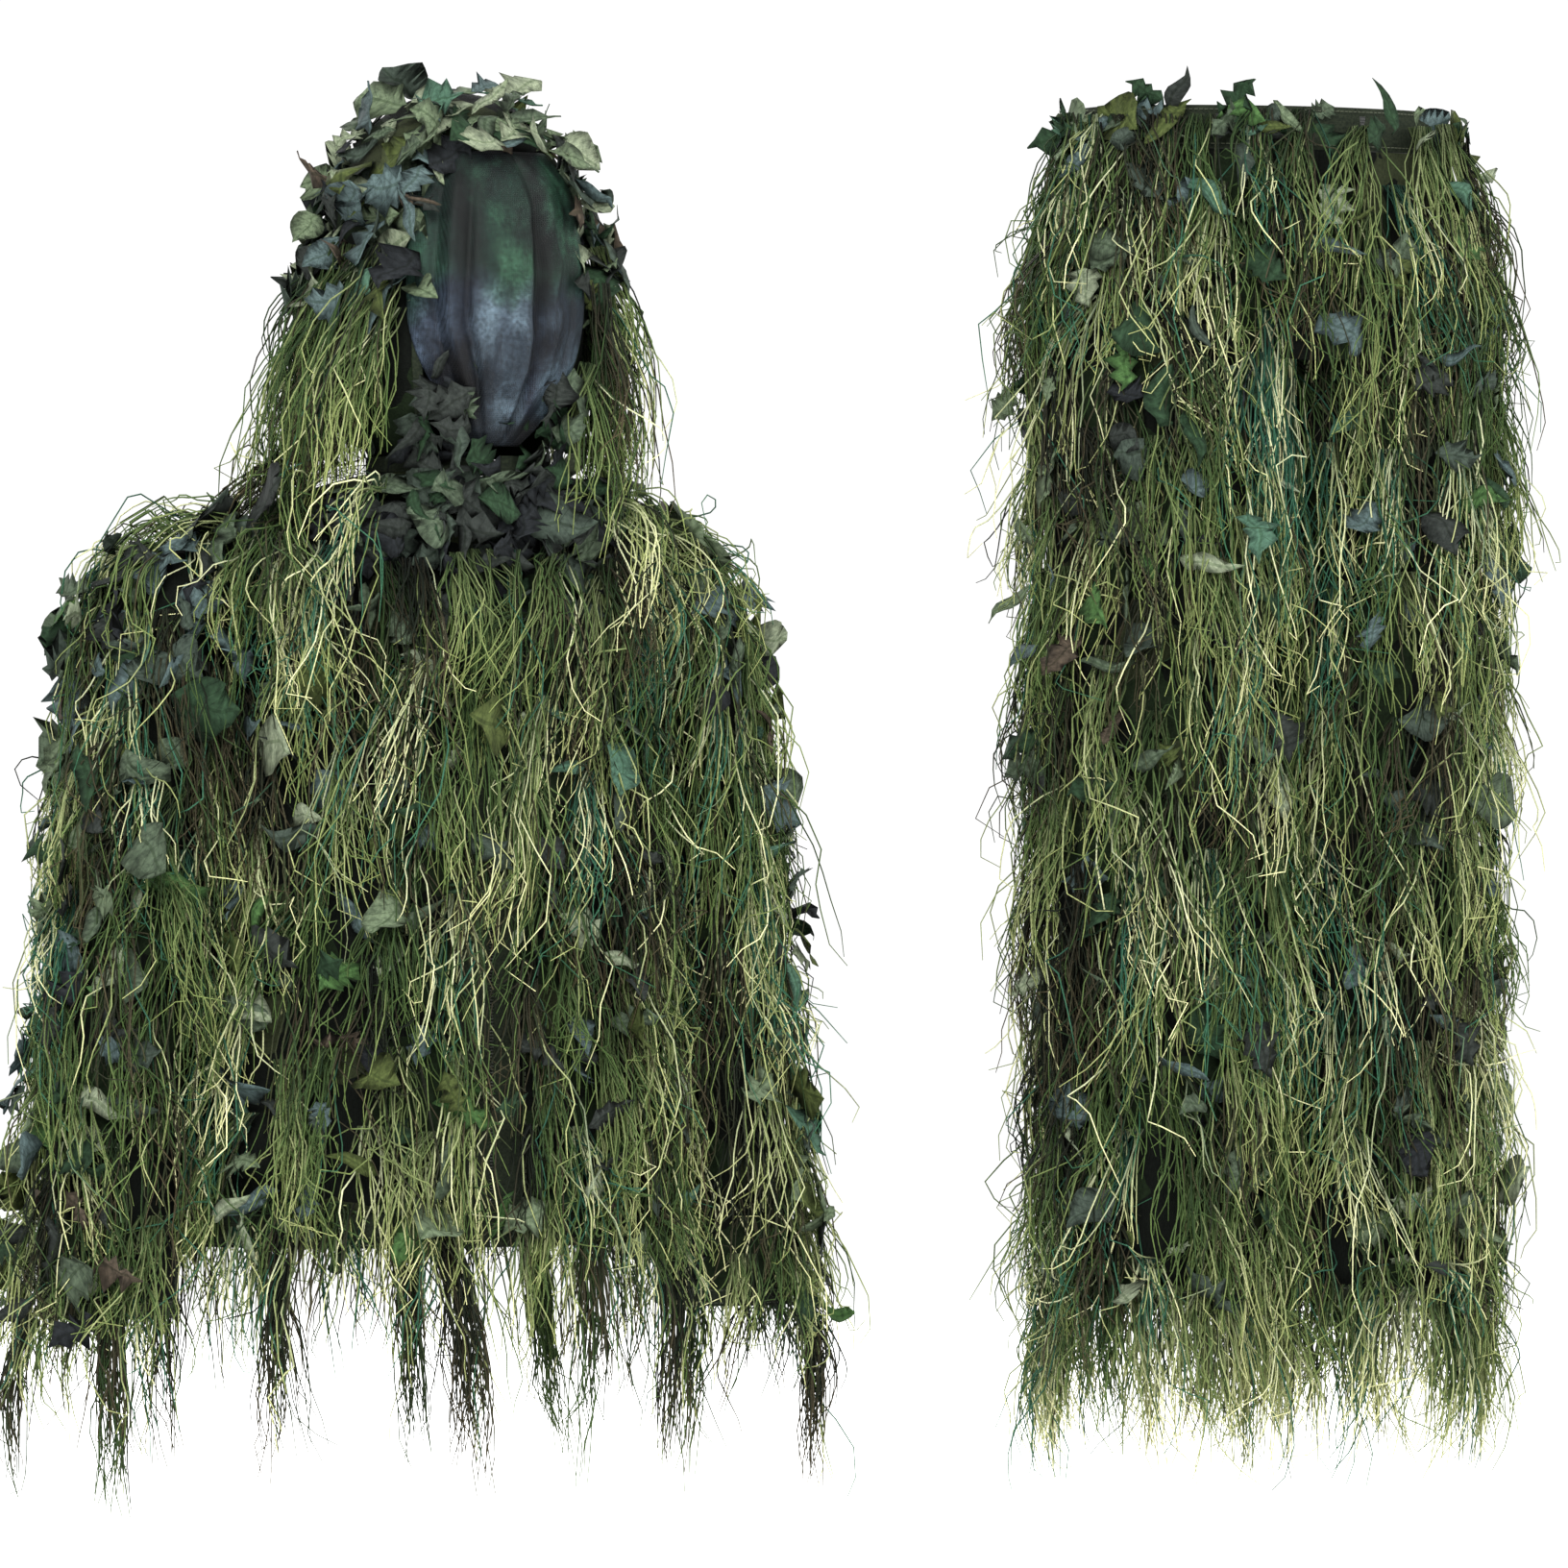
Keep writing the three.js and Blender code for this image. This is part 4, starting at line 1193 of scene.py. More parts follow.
def bunches(rng, shell, angles, heights, floor, pitch=(1.0, 1.0), reach=1.0, mix=OLIVE_MIX, share=1.0,
            spread=1.0, lean=0.0):
    """Staggered rows of yarn bunches between angles and heights of a shell.

    None reaches far below floor. pitch widens the gaps between rows and in a row, and share gives
    the strands in a bunch, both as parts of the settings."""
    settings = bpy.context.scene.ghillie_yarn
    (first, last), (low, high) = angles, heights
    rows = max(1, round((high - low) / (settings.row_pitch * pitch[0])))
    knots = []
    for j in range(rows):
        z = high - (high - low) * (j + 0.25) / rows
        count = max(1, round(shell.arc(first, last, z) / (settings.bunch_pitch * pitch[1])))
        for i in range(count):
            place = (i + 0.5 + 0.25 * (-1) ** j + rng.uniform(-0.2, 0.2)) / count
            degrees = first + (last - first) * min(max(place, 0.02), 0.98)
            height = min(max(z + rng.uniform(-0.014, 0.014), low), high)
            longest = settings.length * reach * rng.uniform(0.75, 1.15)
            out = shell.normal(degrees, height)
            knots.append({
                "place": shell.point(degrees, height, 0.003), "out": out, "down": out * out.z - UP,
                "reach": min(longest, max(0.05, 1.15 * (height - floor))), "tint": pick_tint(rng, mix),
                "share": share * rng.uniform(0.6, 1.3), "spread": spread * rng.uniform(0.35, 1.35),
                "lean": lean + rng.gauss(0, 0.15)})
    return knots


def fringe_bunches(rng, shell, angles, node, mixes=(OLIVE_MIX, DARK_MIX), wisps=0.3, ropes=1.7, trail=0.8):
    """Thin wisps along an edge with a heavy rope of yarn every hand's width."""
    length = bpy.context.scene.ghillie_yarn.length
    bottom, top = span(node)
    depth = top - bottom
    heights = (top, top + 0.02)
    thin = bunches(rng, shell, angles, heights, bottom, (1, 0.45), depth * trail / length,
                   mix=mixes[0], share=wisps, spread=1.0)
    heavy = bunches(rng, shell, angles, heights, bottom, (1, 1.9), depth * 1.6 / length,
                    mix=mixes[1], share=ropes, spread=0.14)
    return thin + heavy


def grow_yarn(name, knots, guide, body, node, blend=None, curl=1.0, depth=1.0):
    """One piece of yarn, standing for a CAD node."""
    settings = bpy.context.scene.ghillie_yarn
    piece = run_tree(name, knot_mesh(name, knots), yarn_tree(), {
        "Guide": guide, "Strands": settings.strands, "Thickness": settings.thickness, "Fan": settings.fan,
        "Curl": settings.curl * curl, "Depth": settings.depth * depth, "Knot width": settings.knot_width,
        "Clearance": settings.clearance, "Room low": ROOM[0], "Room high": ROOM[1],
        "Seed": piece_seed(settings.seed, name), "Material": yarn_material()})
    finish_piece(piece, body, [node], blend)


class GHILLIE_OT_jacket_yarn(bpy.types.Operator):
    """Hang the yarn on the jacket's body, hood and sleeves"""
    bl_idname = "ghillie.jacket_yarn"
    bl_label = "Jacket Yarn"

    def execute(self, context):
        guide = jacket_guide()
        rng = random.Random(context.scene.ghillie_yarn.seed)
        self.body(rng, guide)
        self.sleeves(rng, guide)
        self.hood(rng, guide)
        bpy.data.objects.remove(guide)
        return {"FINISHED"}

    def body(self, rng, guide):
        hem = span("hem_band")[0]
        low, high = span("yoke_row")
        knots = []
        for angles, drop in (((-52, 40), 0), ((40, 140), 0.03), ((140, 232), 0)):
            knots += bunches(rng, BODY, angles, (low - 0.03, high - drop), hem, (0.45, 0.75), 0.85, share=0.9)
        for angles in ((FRONT - 36, FRONT - 3), (FRONT + 3, FRONT + 36)):
            knots += bunches(rng, BODY, angles, (low - 0.03, high - 0.055), hem, (0.5, 0.8), 0.85)
        grow_yarn("yoke_yarn", knots, guide, "jacket", "yoke_row", depth=2.2)
        sides = {"front_left": (FRONT + 1, 346), "front_right": (194, FRONT - 1), "back": (14, 166)}
        for row in ("upper", "lower"):
            for side, angles in sides.items():
                node = f"{row}_row_{side}"
                knots = bunches(rng, BODY, angles, span(node), hem - 0.02)
                grow_yarn(f"{row}_yarn_{side}", knots, guide, "jacket", node)
        for side, angles in (("front", (205, 335)), ("back", (25, 155))):
            node = f"hem_fringe_{side}"
            knots = fringe_bunches(rng, BODY, angles, node)
            grow_yarn(f"hem_yarn_{side}", knots, guide, "jacket", node, curl=0.55)

    def sleeves(self, rng, guide):
        for side, shell in SLEEVES.items():
            angles = (OUTER[side] - 112, OUTER[side] + 112)
            body, bend = f"sleeve_{side}", shoulder_blend(side)
            cuff = span(f"cuff_{side}")[0]
            tops = {"upper": (shell.high - 0.002, 0.72), "lower": (span(f"sleeve_lower_row_{side}")[1], 1.0)}
            for row, (high, tight) in tops.items():
                node = f"sleeve_{row}_row_{side}"
                heights = (span(node)[0], high)
                knots = bunches(rng, shell, angles, heights, cuff - 0.02, (tight, tight), spread=0.9)
                grow_yarn(f"sleeve_{row}_yarn_{side}", knots, guide, body, node, bend, depth=0.8)
            node = f"sleeve_fringe_{side}"
            knots = fringe_bunches(rng, shell, angles, node)
            grow_yarn(f"sleeve_fringe_yarn_{side}", knots, guide, body, node, bend, curl=0.55)

    def hood(self, rng, guide):
        for side, angles, spread, lean in (("left", (-46, 8), 0.4, 0.0), ("right", (150, 226), 1.0, -0.28)):
            node = f"curtain_{side}"
            low, high = span(node)
            knots = bunches(rng, HOOD, angles, (high - 0.10, high + 0.01), low - 0.06, (0.5, 0.55), 1.1,
                            STRAW_MIX, 0.8, spread, lean)
            grow_yarn(f"curtain_yarn_{side}", knots, guide, "hood", node, neck_blend(), 0.8, 1.5)
        low, high = span("hood_back_row")
        knots = bunches(rng, HOOD, (25, 155), (low, high), low - 0.1, (0.9, 0.8))
        grow_yarn("hood_back_yarn", knots, guide, "hood", "hood_back_row", neck_blend())


class GHILLIE_OT_trouser_yarn(bpy.types.Operator):
    """Hang the yarn on the trousers' hips and legs"""
    bl_idname = "ghillie.trouser_yarn"
    bl_label = "Trouser Yarn"

    def execute(self, context):
        guide = trouser_guide()
        rng = random.Random(context.scene.ghillie_yarn.seed + 1)
        self.hips(rng, guide)
        self.legs(rng, guide)
        bpy.data.objects.remove(guide)
        return {"FINISHED"}

    def hips(self, rng, guide):
        top = HIP.high - 0.004
        for side, angles, waist in (("front", (180, 360), (182, 268)), ("back", (0, 180), (95, 178))):
            node = f"hip_row_{side}"
            low = span(node)[0]
            knots = bunches(rng, HIP, angles, (low, HIP.high - 0.01), low - 0.2, (0.8, 0.85))
            knots += bunches(rng, HIP, waist, (top - 0.006, top), low - 0.2, (1, 0.7), 0.8)
            grow_yarn(f"hip_yarn_{side}", knots, guide, "trousers", node)

    def legs(self, rng, guide):
        for side, shell in LEGS.items():
            middle = OUTER[side]
            body, bend = f"leg_{side}", hip_blend(side)
            cuff = span(f"ankle_cuff_{side}")[0]
            halves = ("front", "back") if side == "left" else ("back", "front")
            for row, above in (("upper", 0.09), ("lower", 0)):
                node = f"leg_{row}_row_{side}"
                low, high = span(node)
                for half, angles in zip(halves, ((middle - 158, middle), (middle, middle + 158))):
                    knots = bunches(rng, shell, angles, (low, high + above), cuff - 0.02)
                    grow_yarn(f"leg_{row}_yarn_{side}_{half}", knots, guide, body, node, bend)
            node = f"leg_fringe_{side}"
            knots = fringe_bunches(rng, shell, (middle - 150, middle + 150), node, (PALE_MIX, PALE_MIX),
                                   wisps=1.0, ropes=1.0, trail=1.05)
            grow_yarn(f"leg_fringe_yarn_{side}", knots, guide, body, node, bend, 0.8)


# ---------------------------------------------------------------- leaves

LEAF_STATIONS = 8
# the kinds of leaf, and how far each one's tip bends back, as a part of its length
LEAF_KINDS = {"oak": 0.10, "round": 0.05, "pointed": 0.2, "broad": 0.14, "long": 0.28}


def leaf_outline(kind, share):
    """Half-width of a leaf at a share of its length, for a leaf one unit long."""
    body = math.sin(math.pi * min(1, share * 1.04)) ** 0.75
    if kind == "oak":
        return 0.24 * body * (1 + 0.42 * math.cos(math.tau * share * LEAF_STATIONS / 2))
    if kind == "round":
        return 0.40 * body
    if kind == "pointed":
        return 0.20 * body * (1.25 - share)
    if kind == "broad":
        return 0.34 * body * (1 + 0.25 * math.cos(math.tau * share * LEAF_STATIONS / 2))
    return 0.17 * body


def leaf_blank(kind, bend, collection):
    """A thin closed leaf along +Y, one unit long, with its own map."""
    points, faces, charts = [], [], []
    for k in range(LEAF_STATIONS + 1):
        share = k / LEAF_STATIONS
        half = max(leaf_outline(kind, share), 0.012)
        sag = bend * share * share
        cup = 0.22 * half
        shift = 0.03 * math.sin(9 * share)
        points += [(shift - half, share, cup - sag), (shift, share, 0.012 - sag),
                   (shift + half, share, cup - sag), (shift, share, -0.012 - sag)]
        charts += [(0.5 - half, share), (0.5, share), (0.5 + half, share), (0.5, share)]
    for k in range(LEAF_STATIONS):
        a, b = 4 * k, 4 * (k + 1)
        faces += [(a + i, a + (i + 1) % 4, b + (i + 1) % 4, b + i) for i in range(4)]
    faces += [(3, 2, 1, 0), tuple(4 * LEAF_STATIONS + i for i in range(4))]
    mesh = bpy.data.meshes.new("leaf_" + kind)
    mesh.from_pydata(points, [], faces)
    chart = mesh.attributes.new("leaf_map", VECTOR, "POINT")
    chart.data.foreach_set("vector", [c for u, v in charts for c in (u, v, 0)])
    mesh.shade_smooth()
    blank = bpy.data.objects.new("leaf_" + kind, mesh)
    collection.objects.link(blank)


def leaf_tree():
    """Sets leaf blanks on points, each turned, sized and crumpled."""
    name = "Cut leaves"
    if name in bpy.data.node_groups:
        return bpy.data.node_groups[name]
    tree, graph, given, result = geometry_tree(name, {
        "Blanks": ("Collection", None), "Crumple": ("Float", 0.006), "Tones": ("Float", 12.0),
        "Room low": ("Vector", None), "Room high": ("Vector", None), "Seed": ("Int", 1),
        "Material": ("Material", None)})
    points = graph.first("GeometryNodeMeshToPoints", {"Mesh": given["Geometry"]})
    blanks = graph.first("GeometryNodeCollectionInfo", {
        "Collection": given["Blanks"], "Separate Children": True, "Reset Children": True})
    pick = graph.node("FunctionNodeRandomValue", {"Seed": given["Seed"]}, data_type="INT")
    pick.inputs[4].default_value = 0
    pick.inputs[5].default_value = 50
    turn = graph.first("FunctionNodeAxesToRotation", {
        0: graph.attribute("face", VECTOR), 1: graph.attribute("tip", VECTOR)},
        primary_axis="Z", secondary_axis="Y")
    placed = graph.first("GeometryNodeInstanceOnPoints", {
        "Points": points, "Instance": blanks, "Pick Instance": True, "Instance Index": pick.outputs[2],
        "Rotation": turn, "Scale": graph.attribute("size")})
    leaves = graph.first("GeometryNodeRealizeInstances", {"Geometry": placed})
    place = graph.first("GeometryNodeInputPosition")
    rumple = graph.vector("SUBTRACT", graph.noise(place, 27.0, 1.0)["Color"], (0.5, 0.5, 0.5))
    bent = graph.vector("ADD", place, graph.vector("SCALE", rumple, graph.times(given["Crumple"], 4.0)))
    bent = graph.within(bent, given["Room low"], given["Room high"])
    leaves = graph.first("GeometryNodeSetPosition", {"Geometry": leaves, "Position": bent})
    chart = graph.parts(graph.attribute("leaf_map", VECTOR))
    cell = graph.math("FLOOR", graph.times(graph.attribute("tint"), given["Tones"]))
    inside = graph.times_plus(chart[0], 0.94, 0.03)
    flat = graph.join(graph.math("DIVIDE", graph.plus(cell, inside), given["Tones"]),
                      graph.times_plus(chart[1], 0.98, 0.01))
    leaves = graph.store(leaves, BAKE_MAP, flat, "FLOAT2", "CORNER")
    leaves = graph.forget(leaves, ("face", "tip", "size", "tint", "leaf_map"))
    close_tree(graph, leaves, given["Material"], result)
    return tree


# mixes of leaves, as places in LEAF_TONES
GREY_LEAVES = [0, 1, 2, 3, 9, 11, 1, 8, 0, 11, 10, 3]
GREEN_LEAVES = [1, 2, 4, 5, 6, 5, 10, 1, 3, 5, 4, 11, 7, 0]
DARK_LEAVES = [0, 9, 11, 5, 1, 0]
BLUE_LEAVES = [3, 0, 11, 3, 9, 1]
MIXED_LEAVES = GREEN_LEAVES + GREY_LEAVES
PALE_LEAVES = GREY_LEAVES + GREEN_LEAVES + [2, 10, 2, 3, 10, 2, 1, 10]


def leaf_points(rng, shell, angles, heights, pitch, tones, size, ragged, off=1.0, stand=1):
    """Leaves scattered between angles and heights of a shell.

    size and off are parts of the settings. ragged turns the tips outwards, and stand says how far
    they hang down, or with a minus sign up."""
    settings = bpy.context.scene.ghillie_leaf
    (first, last), (low, high) = angles, heights
    rows = max(1, round((high - low) / pitch))
    points = []
    for j in range(rows):
        z = high - (high - low) * (j + 0.5) / rows
        count = max(1, round(shell.arc(first, last, z) / pitch))
        for i in range(count):
            degrees = first + (last - first) * (i + rng.random()) / count
            height = min(max(z + rng.uniform(-0.5, 0.5) * pitch, low), high)
            out = shell.normal(degrees, height)
            side = UP.cross(out).normalized()
            tip = side * rng.gauss(0, 0.8) - UP * rng.uniform(-0.25, 1) * stand + out * rng.uniform(0, ragged)
            face = out + side * rng.gauss(0, 0.55) + UP * rng.gauss(0.1, 0.5)
            points.append({
                "place": shell.point(degrees, height, settings.stand_off * off * rng.uniform(0.5, 1.5)),
                "tip": tip.normalized(), "face": face.normalized(),
                "size": settings.size * size * rng.uniform(0.6, 1.3),
                "tint": (rng.choice(tones) + 0.5) / len(LEAF_TONES)})
    return points


def scatter(rng, shell, patches):
    """Leaves on patches of a shell: (angles, heights, pitch, tones, size, ragged, off, stand) each."""
    return [point for patch in patches for point in leaf_points(rng, shell, *patch)]


def place_leaves(name, points, blanks, body, node=None, blend=None):
    """One piece of leaves, standing for a CAD node if one is given."""
    settings = bpy.context.scene.ghillie_leaf
    piece = run_tree(name, knot_mesh(name, points), leaf_tree(), {
        "Blanks": blanks, "Crumple": settings.crumple, "Tones": float(len(LEAF_TONES)),
        "Room low": ROOM[0], "Room high": ROOM[1], "Seed": piece_seed(settings.seed, name),
        "Material": leaf_material()})
    finish_piece(piece, body, [node] if node else [], blend)


class GHILLIE_OT_leaves(bpy.types.Operator):
    """Sew the cut cloth leaves on to every part of the suit"""
    bl_idname = "ghillie.leaves"
    bl_label = "Leaves"

    def execute(self, context):
        rng = random.Random(context.scene.ghillie_leaf.seed)
        blanks = bpy.data.collections.new("leaf_blanks")
        for kind, bend in LEAF_KINDS.items():
            leaf_blank(kind, bend, blanks)
        self.hood(rng, blanks)
        self.jacket(rng, blanks)
        self.sleeves(rng, blanks)
        self.hips(rng, blanks)
        self.legs(rng, blanks)
        for blank in list(blanks.objects):
            bpy.data.objects.remove(blank)
        bpy.data.collections.remove(blanks)
        return {"FINISHED"}

    def hood(self, rng, blanks):
        low, high = span("crown_leaves")
        top, edge = high - 0.004, low - 0.05
        temple = (BROW_Z - 0.06, BROW_Z)
        chin = (HOOD.low, HOOD.low + 0.075)
        crown = scatter(rng, HOOD, (
            ((-48, 228), (edge, top), 0.019, PALE_LEAVES, 0.95, 1.0),
            ((222, 318), (BROW_Z, top), 0.015, PALE_LEAVES, 0.8, 0.9, 2.0),
            ((218, 234), temple, 0.016, GREY_LEAVES, 0.8, 1.0, 2),
            ((306, 322), temple, 0.016, GREY_LEAVES, 0.8, 1.0, 2),
            ((-48, 228), (edge, low + 0.05), 0.034, GREY_LEAVES, 1.1, 2.2, 3.5),
            ((-40, 220), (HOOD.low + 0.02, edge), 0.050, GREEN_LEAVES, 0.9, 0.8),
            ((222, 256), chin, 0.015, DARK_LEAVES, 0.8, 0.5, 2),
            ((284, 318), chin, 0.015, DARK_LEAVES, 0.8, 0.5, 2),
            ((232, 308), (BROW_Z + 0.01, top), 0.017, PALE_LEAVES, 0.8, 0.3, 0.8)))
        place_leaves("hood_leaves", crown, blanks, "hood", "crown_leaves", neck_blend())

    def jacket(self, rng, blanks):
        shoulder, neck = SHOULDER_Z - 0.06, BODY.high
        body = scatter(rng, BODY, (
            ((200, 340), (shoulder, neck), 0.020, DARK_LEAVES, 0.9, 1.0),
            ((225, 315), (neck - 0.05, neck), 0.013, DARK_LEAVES, 0.9, 0.7, 3),
            ((235, 305), (neck - 0.012, neck), 0.011, DARK_LEAVES, 0.9, 0.3, 2, -1),
            ((-20, 200), (shoulder, neck - 0.04), 0.030, GREEN_LEAVES, 1.0, 1.0),
            ((155, 205), (SHOULDER_Z, neck - 0.01), 0.024, GREY_LEAVES, 1.3, 2.0, 5),
            ((-25, 25), (SHOULDER_Z, neck - 0.01), 0.024, GREY_LEAVES, 1.3, 2.0, 5),
            ((18, 162), (BODY.low, shoulder), 0.043, MIXED_LEAVES, 1.0, 1.0, 2.6),
            ((198, 342), (BODY.low, shoulder), 0.043, MIXED_LEAVES, 1.0, 1.0, 2.6)))
        place_leaves("jacket_leaves", body, blanks, "jacket")

    def sleeves(self, rng, blanks):
        for side, shell in SLEEVES.items():
            middle = OUTER[side]
            arm = scatter(rng, shell, (
                ((middle - 75, middle + 75), (shell.low, shell.high), 0.030, GREY_LEAVES + GREEN_LEAVES,
                 1.0, 1.5, 3.2),
                ((middle - 120, middle + 120), (SHOULDER_Z - 0.12, shell.high), 0.024, BLUE_LEAVES,
                 1.0, 0.8, 2)))
            place_leaves(f"sleeve_leaves_{side}", arm, blanks, f"sleeve_{side}", None, shoulder_blend(side))

    def hips(self, rng, blanks):
        top = HIP.high
        hip = scatter(rng, HIP, (
            ((0, 360), (HIP_PIVOT_Z + 0.1, top - 0.01), 0.042, GREEN_LEAVES, 0.9, 1.0, 2.6),
            ((0, 360), (top - 0.012, top), 0.050, MIXED_LEAVES, 0.9, 0.6),
            ((150, 268), (top - 0.03, top), 0.016, GREEN_LEAVES, 0.9, 0.8),
            ((330, 350), (top - 0.03, top), 0.016, GREEN_LEAVES, 0.9, 0.8)))
        place_leaves("hip_leaves", hip, blanks, "trousers")

    def legs(self, rng, blanks):
        for side, shell in LEGS.items():
            angles = (OUTER[side] - 120, OUTER[side] + 120)
            leg = leaf_points(rng, shell, angles, (shell.low, HIP_PIVOT_Z + 0.1), 0.045, MIXED_LEAVES,
                              0.9, 1.0, 2.6)
            place_leaves(f"leg_leaves_{side}", leg, blanks, f"leg_{side}", None, hip_blend(side))


# ---------------------------------------------------------------- zip and stitching

ZIP_END_GAP = 0.004
STITCH_RADIUS = 0.0004
# how far a stitch line lies above the cloth, and how many steps it follows it in
STITCH_LIFT = 0.0005
RING_STEPS = 96
UPRIGHT_STEPS = 60
# how far the stitches run inside an edge
EDGE_INSET = 0.004
CUFF_TOP_INSET = 0.002
CUFF_END_INSET = 0.003
# how far above the hem band's edges its stitches run
HEM_LIFT = 0.003
# degrees from the middle of a hood seam, and of the front, to the stitches beside it
SEAM_SIDE = 1.5
FRONT_SEAM = 8.4


def tooth_tree():
    """Zip teeth down a line, turned left and right in turn."""
    tree, graph, given, result = geometry_tree("Zip teeth", {
        "Pitch": ("Float", 0.003), "Width": ("Float", 0.004), "Material": ("Material", None)})
    line = graph.first("GeometryNodeMeshToCurve", {"Mesh": given["Geometry"]})
    spots = graph.first("GeometryNodeResampleCurve", {"Curve": line, "Length": given["Pitch"]}, mode="LENGTH")
    tooth = graph.first("GeometryNodeMeshCylinder", {"Vertices": 8, "Radius": 0.5, "Depth": 1.0})
    size = graph.join(given["Width"], 0.0016, graph.times(given["Pitch"], 0.42))
    placed = graph.first("GeometryNodeInstanceOnPoints", {"Points": spots, "Instance": tooth, "Scale": size})
    index = graph.first("GeometryNodeInputIndex")
    turn = graph.times_plus(graph.math("MODULO", index, 2.0), 2.0, -1.0)
    shift = graph.join(graph.times(turn, 0.0009))
    moved = graph.first("GeometryNodeTranslateInstances", {"Instances": placed, "Translation": shift})
    close_tree(graph, moved, given["Material"], result)
    return tree


def stitch_tree():
    """Short stitches laid end to end along seams."""
    name = "Stitches"
    if name in bpy.data.node_groups:
        return bpy.data.node_groups[name]
    tree, graph, given, result = geometry_tree(name, {
        "Pitch": ("Float", 0.005), "Length": ("Float", 0.0034), "Thickness": ("Float", STITCH_RADIUS),
        "Material": ("Material", None)})
    seams = graph.first("GeometryNodeMeshToCurve", {"Mesh": given["Geometry"]})
    spots = graph.first("GeometryNodeResampleCurve", {
        "Curve": seams, "Length": given["Pitch"]}, mode="LENGTH")
    half = graph.times(given["Length"], 0.5)
    line = graph.first("GeometryNodeCurvePrimitiveLine", {
        "Start": graph.join(z=graph.times(half, -1.0)), "End": graph.join(z=half)})
    ring = graph.first("GeometryNodeCurvePrimitiveCircle", {"Resolution": 5, "Radius": given["Thickness"]})
    stitch = graph.first("GeometryNodeCurveToMesh", {"Curve": line, "Profile Curve": ring, "Fill Caps": True})
    tangent = graph.first("GeometryNodeInputTangent")
    turn = graph.first("FunctionNodeAlignRotationToVector", {"Vector": tangent}, axis="Z")
    placed = graph.first("GeometryNodeInstanceOnPoints", {
        "Points": spots, "Instance": stitch, "Rotation": turn})
    close_tree(graph, placed, given["Material"], result)
    return tree


def line_mesh(name, lines):
    points, edges = [], []
    for line in lines:
        start = len(points)
        points += line
        edges += [(start + i, start + i + 1) for i in range(len(line) - 1)]
    mesh = bpy.data.meshes.new(name)
    mesh.from_pydata(points, edges, [])
    return mesh


def ring_line(shell, z, first=0, last=360):
    return [shell.point(first + (last - first) * i / RING_STEPS, z, STITCH_LIFT)
            for i in range(RING_STEPS + 1)]


def upright_line(shell, degrees, low, high):
    return [shell.point(degrees, low + (high - low) * i / UPRIGHT_STEPS, STITCH_LIFT)
            for i in range(UPRIGHT_STEPS + 1)]


def edge_rings(shell, node, top, bottom):
    """Stitches just inside both edges of a band of cloth."""
    low, high = span(node)
    return [ring_line(shell, high - top), ring_line(shell, low + bottom)]


def sew(name, lines, body):
    settings = bpy.context.scene.ghillie_zip
    piece = run_tree(name, line_mesh(name, lines), stitch_tree(), {
        "Pitch": settings.stitch_pitch, "Length": settings.stitch_length, "Thickness": STITCH_RADIUS,
        "Material": thread_material()})
    finish_piece(piece, body)


class GHILLIE_OT_zip(bpy.types.Operator):
    """Make the zip's teeth and finish the zip, tapes, loop and elastic"""
    bl_idname = "ghillie.zip"
    bl_label = "Zip and Trims"

    def execute(self, context):
        settings = context.scene.ghillie_zip
        low, high = span("zip_tape_left")
        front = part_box("zip_tape_left")[0][1] - 0.0004
        line = [(0, front, low + ZIP_END_GAP), (0, front, high - ZIP_END_GAP)]
        teeth = run_tree("zip_teeth", line_mesh("zip_teeth", [line]), tooth_tree(), {
            "Pitch": settings.tooth_pitch, "Width": settings.tooth_width, "Material": zip_material()})
        finish_piece(teeth, "jacket")
        self.finish(zip_material(), "zip_slider", "zip_pull")
        self.finish(elastic_material(), "waist_elastic")
        self.finish(tape_material(), "zip_tape_left", "zip_tape_right", "hang_loop", "neck_band",
                    "hood_rim_left", "hood_rim_right")
        return {"FINISHED"}

    def finish(self, material, *nodes):
        """Gives CAD nodes that stay visible their material."""
        for node in nodes:
            for slot in frame["nodes"][node].material_slots:
                slot.material = material


class GHILLIE_OT_stitching(bpy.types.Operator):
    """Sew the seams of the jacket, hood and trousers"""
    bl_idname = "ghillie.stitching"
    bl_label = "Stitching"

    def execute(self, context):
        hem_low, hem_high = span("hem_band")
        neck = BODY.high - EDGE_INSET
        jacket = [ring_line(BODY, z, FRONT + OPENING, FRONT + 360 - OPENING)
                  for z in (hem_high + HEM_LIFT, hem_low + HEM_LIFT, neck)]
        jacket += [upright_line(BODY, FRONT + turn, hem_low, neck) for turn in (-FRONT_SEAM, FRONT_SEAM)]
        sew("jacket_stitches", jacket, "jacket")
        for side, shell in SLEEVES.items():
            rings = edge_rings(shell, f"cuff_{side}", CUFF_TOP_INSET, CUFF_END_INSET)
            sew(f"cuff_stitches_{side}", rings, f"sleeve_{side}")
        hood = [upright_line(HOOD, seam + turn, HOOD.low + EDGE_INSET, HOOD.high - 0.02)
                for seam in (HOOD_SEAM, 180 - HOOD_SEAM) for turn in (-SEAM_SIDE, SEAM_SIDE)]
        sew("hood_stitches", hood, "hood")
        sew("waist_stitches", edge_rings(HIP, "waistband", EDGE_INSET, EDGE_INSET), "trousers")
        for side, shell in LEGS.items():
            rings = edge_rings(shell, f"ankle_cuff_{side}", CUFF_TOP_INSET, CUFF_END_INSET)
            sew(f"ankle_stitches_{side}", rings, f"leg_{side}")
        return {"FINISHED"}


# ---------------------------------------------------------------- stage

